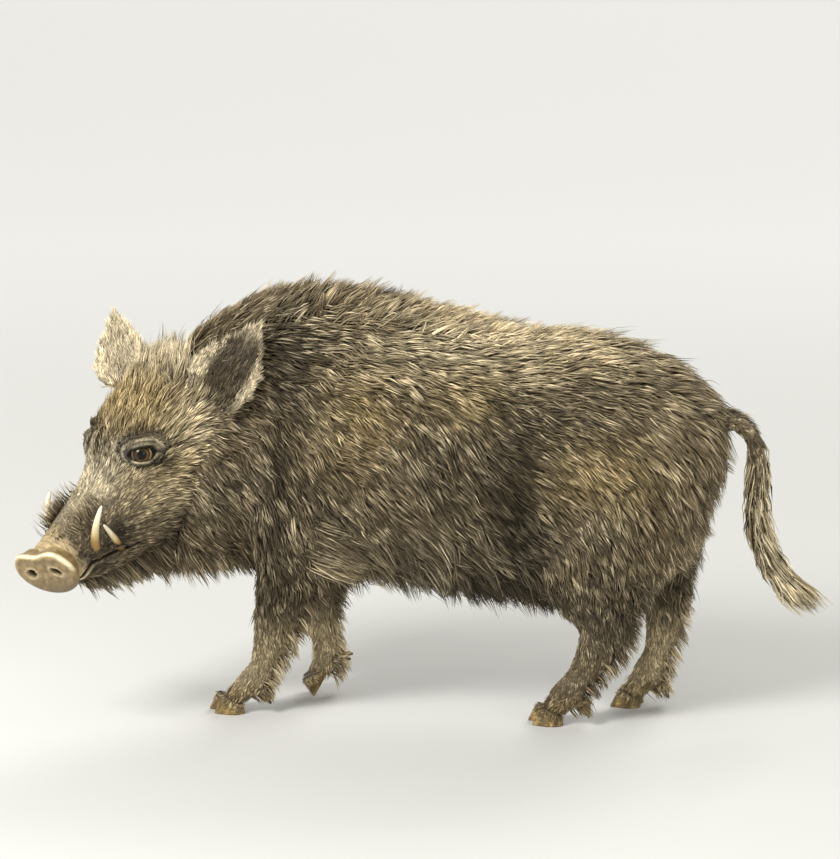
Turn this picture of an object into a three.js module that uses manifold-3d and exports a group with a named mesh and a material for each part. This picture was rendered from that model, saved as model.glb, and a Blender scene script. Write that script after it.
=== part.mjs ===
// A life-size adult wild boar, walking, with its head low and turned to its left.
// Millimetres, +Z up. It faces -X and its left side faces -Y. The origin is on the floor,
// under the middle of the whole animal. The body is modelled whole and parted by thin cuts.
import * as THREE from "three";
import { mergeVertices } from "three/addons/utils/BufferGeometryUtils.js";
import Module from "manifold-3d";

const wasm = await Module();
wasm.setup();
const { degToRad, lerp, clamp, seededRandom } = THREE.MathUtils;

// ---- Driving dimensions

const cutGap = 0.3; // between two nodes that touch
const maneHeight = 44; // how far the bristles of the mane stand above the back
const coatDepth = 17; // how far the tips of the flank's locks stand above the core
const poll = new THREE.Vector3(-487, -70, 702); // the crest of the skull, between the ears
const headTurn = 46; // degrees, from straight ahead towards the left
const headDrop = 48.8; // degrees, from level to the line from poll to snout
const eyeRadius = 20;
const hoofLength = 62;
const hoofWidth = 31;
const hoofHeight = 37;

// ---- Solids

// A closed geometry as a solid, facing out, with its shared vertices merged.
function solid(geometry) {
  const bare = geometry.clone();
  bare.deleteAttribute("normal");
  bare.deleteAttribute("uv");
  const merged = mergeVertices(bare, 1e-3);
  const triVerts = [];
  for (let i = 0; i < merged.index.count; i += 3) {
    const [a, b, c] = merged.index.array.subarray(i, i + 3);
    if (a !== b && b !== c && c !== a) triVerts.push(a, b, c);
  }
  const made = () => new wasm.Manifold(new wasm.Mesh({
    numProp: 3,
    vertProperties: merged.attributes.position.array,
    triVerts: new Uint32Array(triVerts),
  }));
  const first = made();
  if (first.volume() > 0) return first;
  for (let i = 0; i < triVerts.length; i += 3) {
    [triVerts[i], triVerts[i + 1]] = [triVerts[i + 1], triVerts[i]];
  }
  return made();
}

// A solid as a geometry.
function geometryOf(made) {
  const mesh = made.getMesh();
  const geometry = new THREE.BufferGeometry();
  geometry.setAttribute("position", new THREE.BufferAttribute(mesh.vertProperties, 3));
  geometry.setIndex(new THREE.BufferAttribute(mesh.triVerts, 1));
  return geometry;
}

// The largest closed surface of a solid.
function largest(made) {
  return made.decompose().reduce((a, b) => (b.volume() > a.volume() ? b : a));
}

// A unit cylinder with each vertex moved to where place(angle, along, out) says: angle goes
// round it, along runs from 0 to 1, and out is 0 in the middle of an end and 1 at the rim.
// `grow` moves the rim that much further out.
function tube(sides, steps, place, grow = 0) {
  const geometry = new THREE.CylinderGeometry(1, 1, 1, sides, steps);
  const corners = geometry.attributes.position;
  const at = new THREE.Vector3();
  const middle = new THREE.Vector3();
  for (let i = 0; i < corners.count; i++) {
    at.fromBufferAttribute(corners, i);
    const out = Math.min(1, Math.hypot(at.x, at.z));
    const angle = Math.atan2(at.z, at.x);
    const along = at.y + 0.5;
    place(angle, along, out, at);
    if (grow && out) {
      place(angle, along, 0, middle);
      at.sub(middle).setLength(at.length() + grow).add(middle);
    }
    corners.setXYZ(i, at.x, at.y, at.z);
  }
  return solid(geometry);
}

// A function that runs smoothly through named rows of sizes as its argument goes from 0 to 1.
function smoothRows(rows) {
  const keys = Object.keys(rows[0]).filter((key) => typeof rows[0][key] === "number");
  const places = rows.map((_, i) => i / (rows.length - 1));
  const values = rows.flatMap((row) => keys.map((key) => row[key]));
  const curve = new THREE.CubicInterpolant(places, values, keys.length);
  return (along) => {
    const found = curve.evaluate(clamp(along, 0, 1));
    return Object.fromEntries(keys.map((key, i) => [key, found[i]]));
  };
}

const signedPower = (x, power) => Math.sign(x) * Math.abs(x) ** power;

// The egg-shaped section of trunk and head: across it and up it, at an angle where 90 degrees
// is the back. It is widest at `level`, narrows above by `ridge` and below by `keel`, and the
// lower `square` is, the squarer it is.
function eggSection(size, angle, out) {
  const side = Math.cos(angle);
  const rise = Math.sin(angle);
  const widest = lerp(size.low, size.top, size.level);
  const narrow = rise > 0 ? size.ridge * rise : -size.keel * rise;
  return {
    across: signedPower(side, size.square) * size.half * (1 - narrow) * out,
    up: widest + signedPower(rise, size.square) * (rise > 0 ? size.top - widest : widest - size.low) * out,
  };
}

// ---- Trunk and neck: upright sections from the rump to inside the head. `turn` is how far a
// section turns from straight across towards the left, in degrees.

const trunkRows = [
  { name: "dock", x: 584, y: 0, top: 590, low: 530, half: 26, level: 0.5, ridge: 0.1, keel: 0.1, turn: 0 },
  { name: "seat", x: 556, y: 0, top: 640, low: 452, half: 92, level: 0.5, ridge: 0.2, keel: 0.2, turn: 0 },
  { name: "croup", x: 500, y: 0, top: 692, low: 322, half: 140, level: 0.5, ridge: 0.24, keel: 0.2, turn: 0 },
  { name: "hip", x: 410, y: 0, top: 736, low: 272, half: 166, level: 0.5, ridge: 0.26, keel: 0.15, turn: 0 },
  { name: "loin", x: 300, y: 0, top: 760, low: 250, half: 178, level: 0.47, ridge: 0.28, keel: 0.1, turn: 0 },
  { name: "flank", x: 185, y: 0, top: 762, low: 252, half: 190, level: 0.44, ridge: 0.3, keel: 0.08, turn: 0 },
  { name: "barrel", x: 60, y: 0, top: 783, low: 268, half: 199, level: 0.43, ridge: 0.32, keel: 0.08, turn: 0 },
  { name: "girth", x: -70, y: 0, top: 808, low: 286, half: 197, level: 0.43, ridge: 0.36, keel: 0.1, turn: 0 },
  { name: "withers", x: -190, y: 0, top: 822, low: 290, half: 184, level: 0.44, ridge: 0.42, keel: 0.15, turn: 0 },
  { name: "shoulder", x: -290, y: -6, top: 817, low: 292, half: 172, level: 0.45, ridge: 0.42, keel: 0.2, turn: 6 },
  { name: "neck", x: -370, y: -20, top: 790, low: 306, half: 160, level: 0.45, ridge: 0.4, keel: 0.25, turn: 16 },
  { name: "nape", x: -436, y: -48, top: 742, low: 302, half: 142, level: 0.45, ridge: 0.36, keel: 0.34, turn: 28 },
  { name: "inside head", x: -486, y: -80, top: 660, low: 316, half: 92, level: 0.5, ridge: 0.3, keel: 0.36, turn: 38 },
];
const trunkAt = smoothRows(trunkRows);

// A point of the trunk's surface.
function trunkPoint(angle, along, out, at) {
  const size = trunkAt(along);
  const { across, up } = eggSection({ ...size, square: 0.92 }, angle, out);
  const turn = degToRad(size.turn);
  return at.set(size.x + across * Math.sin(turn), size.y - across * Math.cos(turn), up);
}

const trunk = (grow) => tube(20, 16, trunkPoint, grow);

// ---- Head, in its own frame: x runs from the poll to the snout, y to the left, z up from the
// forehead. `shift` moves the muzzle's tip to the left.

const headFrame = new THREE.Matrix4()
  .makeRotationFromEuler(new THREE.Euler(0, degToRad(headDrop), degToRad(180 + headTurn), "ZYX"))
  .setPosition(poll);
const headRows = [
  { name: "neck", x: -60, top: -52, low: -178, half: 62, level: 0.5, ridge: 0.2, keel: 0.2, square: 0.9, shift: 0 },
  { name: "nape", x: -14, top: -10, low: -244, half: 108, level: 0.5, ridge: 0.12, keel: 0.3, square: 0.8, shift: 0 },
  { name: "ears", x: 40, top: 12, low: -262, half: 126, level: 0.52, ridge: 0.06, keel: 0.32, square: 0.68, shift: 0 },
  { name: "jowl", x: 105, top: 22, low: -262, half: 122, level: 0.54, ridge: 0.04, keel: 0.36, square: 0.58, shift: 0 },
  { name: "brow", x: 168, top: 19, low: -248, half: 105, level: 0.58, ridge: 0, keel: 0.38, square: 0.52, shift: 0 },
  { name: "eye", x: 214, top: 7, low: -234, half: 91, level: 0.6, ridge: 0.04, keel: 0.38, square: 0.54, shift: 0 },
  { name: "cheek", x: 270, top: -3, low: -213, half: 77, level: 0.6, ridge: 0.06, keel: 0.36, square: 0.58, shift: 0 },
  { name: "bridge", x: 325, top: -1, low: -186, half: 67, level: 0.56, ridge: 0.06, keel: 0.3, square: 0.6, shift: 0 },
  { name: "tusks", x: 385, top: 3, low: -150, half: 61, level: 0.5, ridge: 0.08, keel: 0.24, square: 0.64, shift: 0 },
  { name: "lips", x: 425, top: 10, low: -116, half: 56, level: 0.48, ridge: 0.08, keel: 0.2, square: 0.7, shift: 3 },
  { name: "tip", x: 458, top: 19, low: -72, half: 52, level: 0.5, ridge: 0.06, keel: 0.12, square: 0.76, shift: 8 },
];
const headAt = smoothRows(headRows);

// Bumps and hollows of the face, on both sides: where they lie along the head and round it,
// how far they reach each way, and how high they stand.
const faceForms = [
  { name: "brow ridge", x: 178, angle: 56, reach: 26, spread: 13, height: 13 },
  { name: "eye socket", x: 206, angle: 47, reach: 20, spread: 9, height: -9 },
  { name: "cheekbone", x: 204, angle: 20, reach: 40, spread: 14, height: 9 },
  { name: "jaw muscle", x: 96, angle: -28, reach: 48, spread: 22, height: 8 },
  { name: "side of the nose", x: 292, angle: 34, reach: 45, spread: 14, height: -8 },
  { name: "tusk lip", x: 390, angle: 2, reach: 22, spread: 16, height: 10 },
  { name: "jaw hollow", x: 300, angle: -40, reach: 45, spread: 13, height: -6 },
];
const faceHeight = (x, angle) => {
  const folded = Math.abs(angle) > 90 ? Math.sign(angle) * 180 - angle : angle;
  return faceForms.reduce((sum, form) => {
    const far = ((x - form.x) / form.reach) ** 2 + ((folded - form.angle) / form.spread) ** 2;
    return sum + form.height * Math.exp(-far);
  }, 0);
};

// A point of the head's surface, in the head's frame.
function headPoint(angle, along, out, at) {
  const size = headAt(along);
  const { across, up } = eggSection(size, angle, out);
  const bump = faceHeight(size.x, THREE.MathUtils.radToDeg(angle)) * out;
  return at.set(
    size.x,
    across + size.shift + bump * Math.cos(angle),
    up + bump * Math.sin(angle),
  );
}

const headCore = (grow) => tube(22, 19, headPoint, grow).transform(headFrame.elements);

// The place along the head's rows where the head frame's x is reached.
function alongHead(x) {
  let near = 0;
  let far = 1;
  for (let i = 0; i < 24; i++) {
    const middle = (near + far) / 2;
    if (headAt(middle).x < x) near = middle;
    else far = middle;
  }
  return near;
}
const onHead = (x, degrees, side = 1) => {
  const at = headPoint(degToRad(degrees), alongHead(x), 1, new THREE.Vector3());
  at.y *= side;
  return at;
};

// ---- Legs: level sections from inside the body down to the pastern. `fore` is half the
// length of a section and `side` half its width.

const legRows = {
  front_left: [
    { name: "shoulder", x: -232, y: -84, z: 520, fore: 84, side: 66 },
    { name: "upper arm", x: -236, y: -104, z: 420, fore: 98, side: 66 },
    { name: "elbow", x: -232, y: -92, z: 325, fore: 80, side: 56 },
    { name: "forearm", x: -252, y: -88, z: 250, fore: 62, side: 48 },
    { name: "above the knee", x: -276, y: -74, z: 188, fore: 44, side: 36 },
    { name: "knee", x: -287, y: -66, z: 145, fore: 37, side: 33 },
    { name: "cannon", x: -303, y: -60, z: 104, fore: 31, side: 27 },
    { name: "fetlock", x: -322, y: -56, z: 74, fore: 34, side: 31 },
    { name: "pastern", x: -342, y: -54, z: 48, fore: 34, side: 31 },
    { name: "coronet", x: -359, y: -54, z: 26, fore: 27, side: 30 },
  ],
  front_right: [
    { name: "shoulder", x: -222, y: 84, z: 520, fore: 84, side: 66 },
    { name: "upper arm", x: -226, y: 104, z: 420, fore: 96, side: 66 },
    { name: "elbow", x: -216, y: 102, z: 325, fore: 80, side: 58 },
    { name: "forearm", x: -214, y: 94, z: 250, fore: 56, side: 46 },
    { name: "above the knee", x: -214, y: 88, z: 190, fore: 41, side: 35 },
    { name: "knee", x: -212, y: 85, z: 150, fore: 36, side: 33 },
    { name: "cannon", x: -200, y: 85, z: 112, fore: 30, side: 27 },
    { name: "fetlock", x: -190, y: 85, z: 82, fore: 30, side: 31 },
    { name: "pastern", x: -190, y: 85, z: 62, fore: 26, side: 30 },
    { name: "coronet", x: -194, y: 85, z: 44, fore: 20, side: 28 },
  ],
  hind_left: [
    { name: "haunch", x: 400, y: -78, z: 560, fore: 118, side: 74 },
    { name: "thigh", x: 372, y: -96, z: 430, fore: 140, side: 74 },
    { name: "stifle", x: 342, y: -98, z: 320, fore: 122, side: 64 },
    { name: "gaskin", x: 348, y: -94, z: 245, fore: 82, side: 48 },
    { name: "above the hock", x: 364, y: -90, z: 200, fore: 55, side: 37 },
    { name: "hock", x: 360, y: -88, z: 166, fore: 47, side: 33 },
    { name: "cannon", x: 330, y: -85, z: 110, fore: 36, side: 27 },
    { name: "fetlock", x: 302, y: -82, z: 74, fore: 38, side: 31 },
    { name: "pastern", x: 286, y: -80, z: 48, fore: 34, side: 31 },
    { name: "coronet", x: 272, y: -80, z: 26, fore: 28, side: 30 },
  ],
  hind_right: [
    { name: "haunch", x: 420, y: 78, z: 560, fore: 112, side: 74 },
    { name: "thigh", x: 432, y: 94, z: 430, fore: 118, side: 72 },
    { name: "stifle", x: 446, y: 90, z: 330, fore: 92, side: 60 },
    { name: "gaskin", x: 466, y: 78, z: 262, fore: 58, side: 45 },
    { name: "above the hock", x: 478, y: 70, z: 222, fore: 45, side: 36 },
    { name: "hock", x: 480, y: 66, z: 188, fore: 38, side: 32 },
    { name: "cannon", x: 470, y: 64, z: 122, fore: 30, side: 27 },
    { name: "fetlock", x: 455, y: 62, z: 82, fore: 34, side: 31 },
    { name: "pastern", x: 440, y: 60, z: 54, fore: 32, side: 31 },
    { name: "coronet", x: 428, y: 60, z: 28, fore: 27, side: 30 },
  ],
};

function leg(rows, grow) {
  const sizeAt = smoothRows(rows);
  return tube(8, 12, (angle, along, out, at) => {
    const size = sizeAt(along);
    return at.set(
      size.x + size.fore * Math.cos(angle) * out,
      size.y + size.side * Math.sin(angle) * out,
      size.z,
    );
  }, grow);
}

// ---- Feet: two pointed hooves and two dewclaws on each. `tip` tilts a foot onto its toes, and
// `ahead` is how far the inner toe stands in front of the outer one.

const feet = {
  front_left: { x: -365, y: -54, turn: 4, tip: 0, lift: 0, ahead: 12, dewX: 65, dewZ: 44 },
  front_right: { x: -204, y: 85, turn: 4, tip: 62, lift: 31, ahead: 0, dewX: 34, dewZ: 78 },
  hind_left: { x: 264, y: -80, turn: 3, tip: 0, lift: 0, ahead: 8, dewX: 62, dewZ: 40 },
  hind_right: { x: 420, y: 60, turn: 3, tip: 0, lift: 0, ahead: 8, dewX: 60, dewZ: 42 },
};

// A hoof in the foot's frame: x forward from the middle of the coronet, z up from the sole.
function hoof(grow) {
  const toe = hoofLength * 0.62;
  const heel = hoofLength * 0.38;
  return tube(8, 2, (angle, along, out, at) => {
    const ahead = Math.cos(angle);
    const reach = ahead > 0 ? lerp(toe, toe * 0.5, along) : lerp(heel, heel * 0.8, along);
    const point = 1 - 0.42 * Math.max(0, ahead) * (1 - 0.4 * along);
    const half = (hoofWidth / 2) * (1 - 0.12 * along);
    const height = hoofHeight * (1 - 0.22 * (1 - ahead * out));
    return at.set(
      (reach + grow) * ahead * out,
      (half * point + grow) * Math.sin(angle) * out,
      along * (height + 2 * grow) - grow,
    );
  });
}

// A dewclaw: a short blunt cone that points down and back.
function dewclaw(grow) {
  return tube(6, 2, (angle, along, out, at) => {
    const radius = 11 * Math.sqrt(1 - (along * 0.93) ** 2) + grow;
    return at.set(
      radius * 0.9 * Math.cos(angle) * out,
      radius * Math.sin(angle) * out,
      lerp(12 + grow, -25 - grow, along),
    );
  });
}

// ---- Tail: a dock that hangs in a long curve, and the line that its tuft follows

const tailCurve = new THREE.CatmullRomCurve3([
  new THREE.Vector3(556, 0, 586),
  new THREE.Vector3(602, 0, 592),
  new THREE.Vector3(641, 2, 562),
  new THREE.Vector3(657, 5, 500),
  new THREE.Vector3(655, 8, 430),
  new THREE.Vector3(664, 10, 362),
  new THREE.Vector3(694, 12, 300),
  new THREE.Vector3(736, 13, 248),
  new THREE.Vector3(784, 14, 202),
]);
const tailRadius = { root: 25, end: 9 };
const tailBone = 0.74; // the share of the curve that the dock takes

// A tube along part of a curve in a nearly upright plane.
function alongCurve(curve, radiusAt, sides, steps, from = 0, to = 1) {
  return tube(sides, steps, (angle, share, out, at) => {
    const place = lerp(from, to, share);
    const forward = curve.getTangent(place);
    const side = new THREE.Vector3(0, 1, 0).cross(forward).normalize();
    const up = new THREE.Vector3().crossVectors(forward, side);
    const radius = radiusAt(share) * out;
    return at.copy(curve.getPoint(place))
      .addScaledVector(side, radius * Math.cos(angle))
      .addScaledVector(up, radius * Math.sin(angle));
  });
}
const tailThickness = (share) => lerp(tailRadius.root, tailRadius.end, Math.min(1, share * 1.5));
const tailCore = (grow) => alongCurve(tailCurve, (t) => tailThickness(t) + grow, 8, 12, 0, tailBone);

// ---- Face: eyes, lids, mouth, tusks, snout and ears, in the head's frame

const eyeCentre = { x: 193, y: 77, z: -14 };
const eyePlace = (side) => new THREE.Vector3(eyeCentre.x, side * eyeCentre.y, eyeCentre.z);
const eye = (side, grow) => {
  const at = eyePlace(side);
  return solid(new THREE.SphereGeometry(eyeRadius + grow, 10, 7).translate(at.x, at.y, at.z));
};

// A lid is a thick ridge over the eyeball, from one corner of the eye to the other. The eye's
// long axis tilts up towards the snout.
const eyeTilt = degToRad(42);
const lids = [
  { rise: 14, corner: 25, radius: 5 },
  { rise: -12, corner: 24, radius: 4 },
];
function lid(side, { rise, corner, radius }, grow) {
  const at = eyePlace(side);
  const curve = new THREE.CatmullRomCurve3([-1, -0.5, 0, 0.5, 1].map((t) => {
    const bow = new THREE.Vector2(t * corner, rise * (1 - t * t)).rotateAround(new THREE.Vector2(), eyeTilt);
    return new THREE.Vector3(at.x + bow.x, at.y + side * (eyeRadius * (1 - 0.42 * t * t) - 2), at.z + bow.y);
  }));
  return alongCurve(curve, (t) => radius * (0.5 + 0.5 * Math.sin(Math.PI * t)) + grow, 5, 6);
}

// The mouth runs back and up from the lips under the snout, and dips behind the tusks.
const mouthRows = [
  { x: 470, z: -76 },
  { x: 440, z: -72 },
  { x: 412, z: -66 },
  { x: 386, z: -80 },
  { x: 362, z: -102 },
  { x: 338, z: -124 },
  { x: 314, z: -142 },
];
const mouthDepth = 16;
const mouthHeight = 5;
function mouthGroove(side) {
  const rim = mouthRows.map((row) => {
    const size = headAt(alongHead(Math.min(row.x, 456)));
    return new THREE.Vector3(row.x, side * (size.half * 0.9 + size.shift * side), row.z);
  });
  const curve = new THREE.CatmullRomCurve3(rim);
  return tube(4, 7, (angle, along, out, at) => {
    const middle = curve.getPoint(along);
    return at.set(
      middle.x,
      middle.y + mouthDepth * Math.cos(angle) * out,
      middle.z + mouthHeight * Math.sin(angle) * out,
    );
  });
}

// A lip is a soft ridge above the mouth.
function lip(side, grow) {
  const rim = mouthRows.slice(1, 5).map((row) => {
    const size = headAt(alongHead(row.x));
    return new THREE.Vector3(row.x, side * size.half * 0.86 + size.shift, row.z + 12);
  });
  const curve = new THREE.CatmullRomCurve3(rim);
  return alongCurve(curve, (t) => 5 + 4 * Math.sin(Math.PI * t) + grow, 5, 6);
}

// A tusk tapers along a curve through its root, bend and tip.
const tusks = {
  lower: { root: [394, 44, -86], bend: [381, 84, -12], tip: [321, 86, 4], radius: 10 },
  upper: { root: [352, 44, -116], bend: [350, 72, -78], tip: [344, 72, -32], radius: 8.5 },
};
function tusk({ root, bend, tip, radius }, side, grow) {
  const points = [root, bend, tip].map(([x, y, z]) => new THREE.Vector3(x, side * y, z));
  const curve = new THREE.QuadraticBezierCurve3(...points);
  const made = (along) => (radius - 1.2) * Math.sqrt(1 - along) + 1.2 + grow;
  return alongCurve(curve, made, 6, 6);
}

// The snout's disc, turned a little further left than the muzzle: a bare pad with a raised rim.
const snoutTurn = 16;
const snoutFrame = new THREE.Matrix4()
  .makeRotationFromEuler(new THREE.Euler(0, degToRad(-4), degToRad(snoutTurn), "ZYX"))
  .setPosition(454, 9, -19);
const snoutRows = [
  { name: "back", x: 0, size: 0.84 },
  { name: "neck", x: 6, size: 0.94 },
  { name: "rim", x: 14, size: 1.04 },
  { name: "edge", x: 22, size: 1 },
  { name: "face", x: 25, size: 0.84 },
  { name: "dish", x: 23, size: 0.5 },
];
const snoutHalf = { across: 69, above: 45, below: 53 };
const nostril = { across: 33, up: 2, length: 17, half: 9, height: 7 };
function snoutDisc(grow) {
  const sizeAt = smoothRows(snoutRows);
  const disc = tube(18, 5, (angle, along, out, at) => {
    const size = sizeAt(along);
    const rise = Math.sin(angle);
    const notch = rise > 0 ? 1 + 0.1 * Math.cos(2 * angle) : 1;
    const high = (rise > 0 ? snoutHalf.above : snoutHalf.below) * notch;
    return at.set(
      size.x + (along > 0.5 ? grow : -grow),
      (snoutHalf.across * size.size + grow) * Math.cos(angle) * out,
      (high * size.size + grow) * rise * out,
    );
  });
  if (grow) return disc;
  return [-1, 1].reduce((left, side) => {
    const hole = new THREE.SphereGeometry(1, 8, 6)
      .scale(nostril.length, nostril.half, nostril.height)
      .rotateX(side * 0.5)
      .translate(25, side * nostril.across, nostril.up);
    return left.subtract(solid(hole));
  }, disc);
}

// An ear is a leaf-shaped cup. Its frame: x across, y out of the cup, z from root to tip.
const ears = {
  left: { width: 138, root: [20, 124, -56], tip: [-132, 158, -28], faces: [0.46, 0.51, 0.81] },
  right: { width: 118, root: [38, -104, -12], tip: [-54, -146, 70], faces: [0.41, 0.35, 0.82] },
};
const earRows = [
  { name: "root", width: 0.7, cup: 0.5, thick: 1.5 },
  { name: "bowl", width: 1, cup: 0.42, thick: 1.25 },
  { name: "middle", width: 1, cup: 0.3, thick: 1 },
  { name: "upper", width: 0.8, cup: 0.22, thick: 0.9 },
  { name: "near tip", width: 0.42, cup: 0.14, thick: 0.8 },
  { name: "tip", width: 0.06, cup: 0.02, thick: 0.5 },
];
const earThickness = 11;
function earFrame({ root, tip, faces }) {
  const up = new THREE.Vector3(...tip).sub(new THREE.Vector3(...root));
  const length = up.length();
  up.normalize();
  const out = new THREE.Vector3(...faces);
  out.addScaledVector(up, -out.dot(up)).normalize();
  const across = new THREE.Vector3().crossVectors(out, up);
  const frame = new THREE.Matrix4().makeBasis(across, out, up).setPosition(...root);
  return { frame, length };
}
function ear(which, grow) {
  const { frame, length } = earFrame(which);
  const sizeAt = smoothRows(earRows);
  return tube(12, 6, (angle, along, out, at) => {
    const size = sizeAt(along);
    const across = Math.cos(angle) * out;
    const half = (which.width / 2) * size.width;
    const slope = Math.atan(3.2 * size.cup * across);
    const shell = ((earThickness / 2) * size.thick + grow) * Math.sin(angle) * out;
    return at.set(
      half * across + grow * across * Math.cos(slope) - shell * Math.sin(slope),
      half * size.cup * (across * across * 1.6 - 0.5) + grow * across * Math.sin(slope) + shell * Math.cos(slope),
      lerp(-20 - grow, length + grow, along),
    );
  }).transform(frame.elements);
}

// ---- The body as one solid, before its coat

const inHead = (made) => made.transform(headFrame.elements);
const bothSides = [-1, 1];
const body = (grow) => wasm.Manifold.union([
  trunk(grow),
  headCore(grow),
  tailCore(grow),
  ...Object.values(legRows).map((rows) => leg(rows, grow)),
  ...bothSides.flatMap((side) => [
    ...lids.map((size) => inHead(lid(side, size, grow))),
    inHead(lip(side, grow)),
  ]),
]);

// ---- Coat: flat, tapered locks that lie over the body

const bare = body(0);
const bodyMesh = new THREE.Mesh(geometryOf(bare));
const caster = new THREE.Raycaster();

// The point of the body that a ray meets, with the face's normal, or nothing.
function hit(from, direction) {
  caster.set(from, direction);
  const [first] = caster.intersectObject(bodyMesh);
  return first && { point: first.point, normal: first.face.normal.clone() };
}

// The place on the body near `at`, looking in from `outward`.
function surface(at, outward) {
  const found = hit(at.clone().addScaledVector(outward, 70), outward.clone().negate());
  return found && found.point.distanceTo(at) < 55 ? found : null;
}

seededRandom(11);
const vary = (amount) => (seededRandom() - 0.5) * 2 * amount;
const bladeShape = [1, 0.66, 0]; // the width of a lock at its root, middle and tip

// A lock through three points, with a ridge on its side that faces `outward`. It is kept as its
// root and a function that builds it, grown by a gap.
function lock([root, middle, tip], outward, { width, thick }) {
  const along = tip.clone().sub(root).normalize();
  const across = new THREE.Vector3().crossVectors(outward, along).normalize();
  const ridge = new THREE.Vector3().crossVectors(along, across);
  const stations = [root, middle, tip];
  const build = (grow) => tube(3, 2, (angle, share, out, at) => {
    const step = Math.round(share * 2);
    const size = bladeShape[step];
    const wide = 1.15 * Math.cos(angle) * (width / 2 * size + 2 * grow);
    const high = (thick / 1.5) * size * Math.sin(angle) + grow * Math.sign(Math.sin(angle));
    return at.copy(stations[step])
      .addScaledVector(along, grow * (step - 1))
      .addScaledVector(across, wide * out)
      .addScaledVector(ridge, high * out);
  });
  return { root, build };
}

// The place on the body that is `distance` along the lie from another place.
function follow(from, lie, distance) {
  const forward = lie.clone().addScaledVector(from.normal, -lie.dot(from.normal)).normalize();
  const at = from.point.clone().addScaledVector(forward, distance);
  return surface(at, from.normal);
}
const raised = ({ point, normal }, height) => point.clone().addScaledVector(normal, height);

// A lock that follows the body along `lie`, with its tip `stand` above it.
function lyingLock(root, lie, { length, width, thick, stand }) {
  if (!root) return [];
  const middle = follow(root, lie, length * 0.38);
  const tip = middle && follow(middle, lie, length * 0.52);
  if (!tip) return [];
  const sunk = raised(follow(root, lie, -length * 0.1) ?? root, -thick);
  return [lock([sunk, raised(middle, stand * 0.7), raised(tip, stand)], root.normal, { width, thick })];
}

// A lock that leaves the body towards `start`, bends and ends towards `finish`.
function freeLock(root, start, finish, outward, { length, width, thick, sink }) {
  if (!root) return [];
  const middle = root.point.clone().addScaledVector(start, length * 0.5);
  const points = [
    root.point.clone().addScaledVector(start, -sink),
    middle,
    middle.clone().addScaledVector(finish, length * 0.5),
  ];
  return [lock(points, outward, { width, thick })];
}

const direction = (x, y, z) => new THREE.Vector3(x, y, z).normalize();
const sideways = direction(0, 1, 0);
const locks = [];

// The flanks, from the rump to the neck: rows round the trunk, with every other one shifted.
const flankLock = { length: 212, width: 76, thick: 9, stand: coatDepth };
const flankColumns = 7;
const flankRows = [68, 46, 25, 5, -15, -35, -60]; // degrees above the widest line
for (let column = 0; column < flankColumns; column++) {
  flankRows.forEach((degrees, row) => {
    bothSides.forEach((side) => {
      const place = (column + (row % 2 ? 0.75 : 0.25) + vary(0.12)) / flankColumns;
      const along = lerp(0.03, 0.88, place);
      const angle = degToRad(90 - side * (90 - degrees - vary(3)));
      const middle = trunkPoint(angle, along, 0.5, new THREE.Vector3());
      const skin = trunkPoint(angle, along, 1, new THREE.Vector3());
      const root = surface(skin, skin.clone().sub(middle).normalize());
      if (!root) return;
      const fall = 0.15 + 0.95 * (1 - Math.abs(root.normal.z));
      const size = 1 - Math.max(0, along - 0.7) * 0.8 + vary(0.08);
      locks.push(...lyingLock(root, direction(1, vary(0.08), -fall + vary(0.12)), {
        ...flankLock,
        length: flankLock.length * size,
        width: flankLock.width * size,
      }));
    });
  });
}

// The mane: bristles that stand along the ridge of neck and back, leaning backwards.
const maneLock = { width: 38, thick: 15, sink: 14 };
const maneSteps = 15;
for (let step = 0; step < maneSteps; step++) {
  const lanes = step % 2 ? [0] : [-1, 0, 1];
  lanes.forEach((lane) => {
    const share = (step + (lane ? 0.6 : 0)) / maneSteps;
    const skin = trunkPoint(degToRad(90 + lane * 17), lerp(0.36, 0.98, share), 1, new THREE.Vector3());
    const root = surface(skin, direction(0, 0, 1));
    const tall = lerp(0.36, 1, Math.sin(Math.PI * 0.6 * share)) * (lane ? 0.78 : 1);
    const lean = (degrees) => {
      const angle = degToRad(degrees + 22 * share + vary(5));
      return direction(Math.cos(angle), -lane * 0.22, Math.sin(angle));
    };
    locks.push(...freeLock(root, lean(58), lean(38), sideways, {
      ...maneLock,
      length: maneHeight * 1.6 * (tall + vary(0.12)),
    }));
  });
}

// The belly's fringe, between the legs.
const bellyLock = { length: 92, width: 44, thick: 12, sink: 12 };
const bellySteps = 6;
for (let step = 0; step < bellySteps; step++) {
  bothSides.forEach((side) => {
    const along = lerp(0.3, 0.66, (step + (side > 0 ? 0.5 : 0)) / bellySteps);
    const skin = trunkPoint(degToRad(-90 + side * 20), along, 1, new THREE.Vector3());
    const root = surface(skin, direction(0, 0, -1));
    const start = direction(0.8, vary(0.1), -0.6);
    const finish = direction(0.95, vary(0.1), -0.12);
    locks.push(...freeLock(root, start, finish, sideways, bellyLock));
  });
}

// The throat, from the jaw to the front legs: locks that hang down and a little back.
const throatLock = { length: 58, width: 50, thick: 13, sink: 14 };
for (let step = 0; step < 3; step++) {
  [-40, 0, 40].forEach((degrees) => {
    const along = lerp(0.85, 0.985, (step + 0.5 + vary(0.2)) / 3);
    const skin = trunkPoint(degToRad(-90 + degrees), along, 1, new THREE.Vector3());
    const root = surface(skin, direction(0, Math.sin(degToRad(-degrees)), -1));
    const hang = direction(0.16 + vary(0.1), 0, -1);
    locks.push(...freeLock(root, hang, direction(0.4, 0, -1), sideways, throatLock));
  });
}

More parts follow.
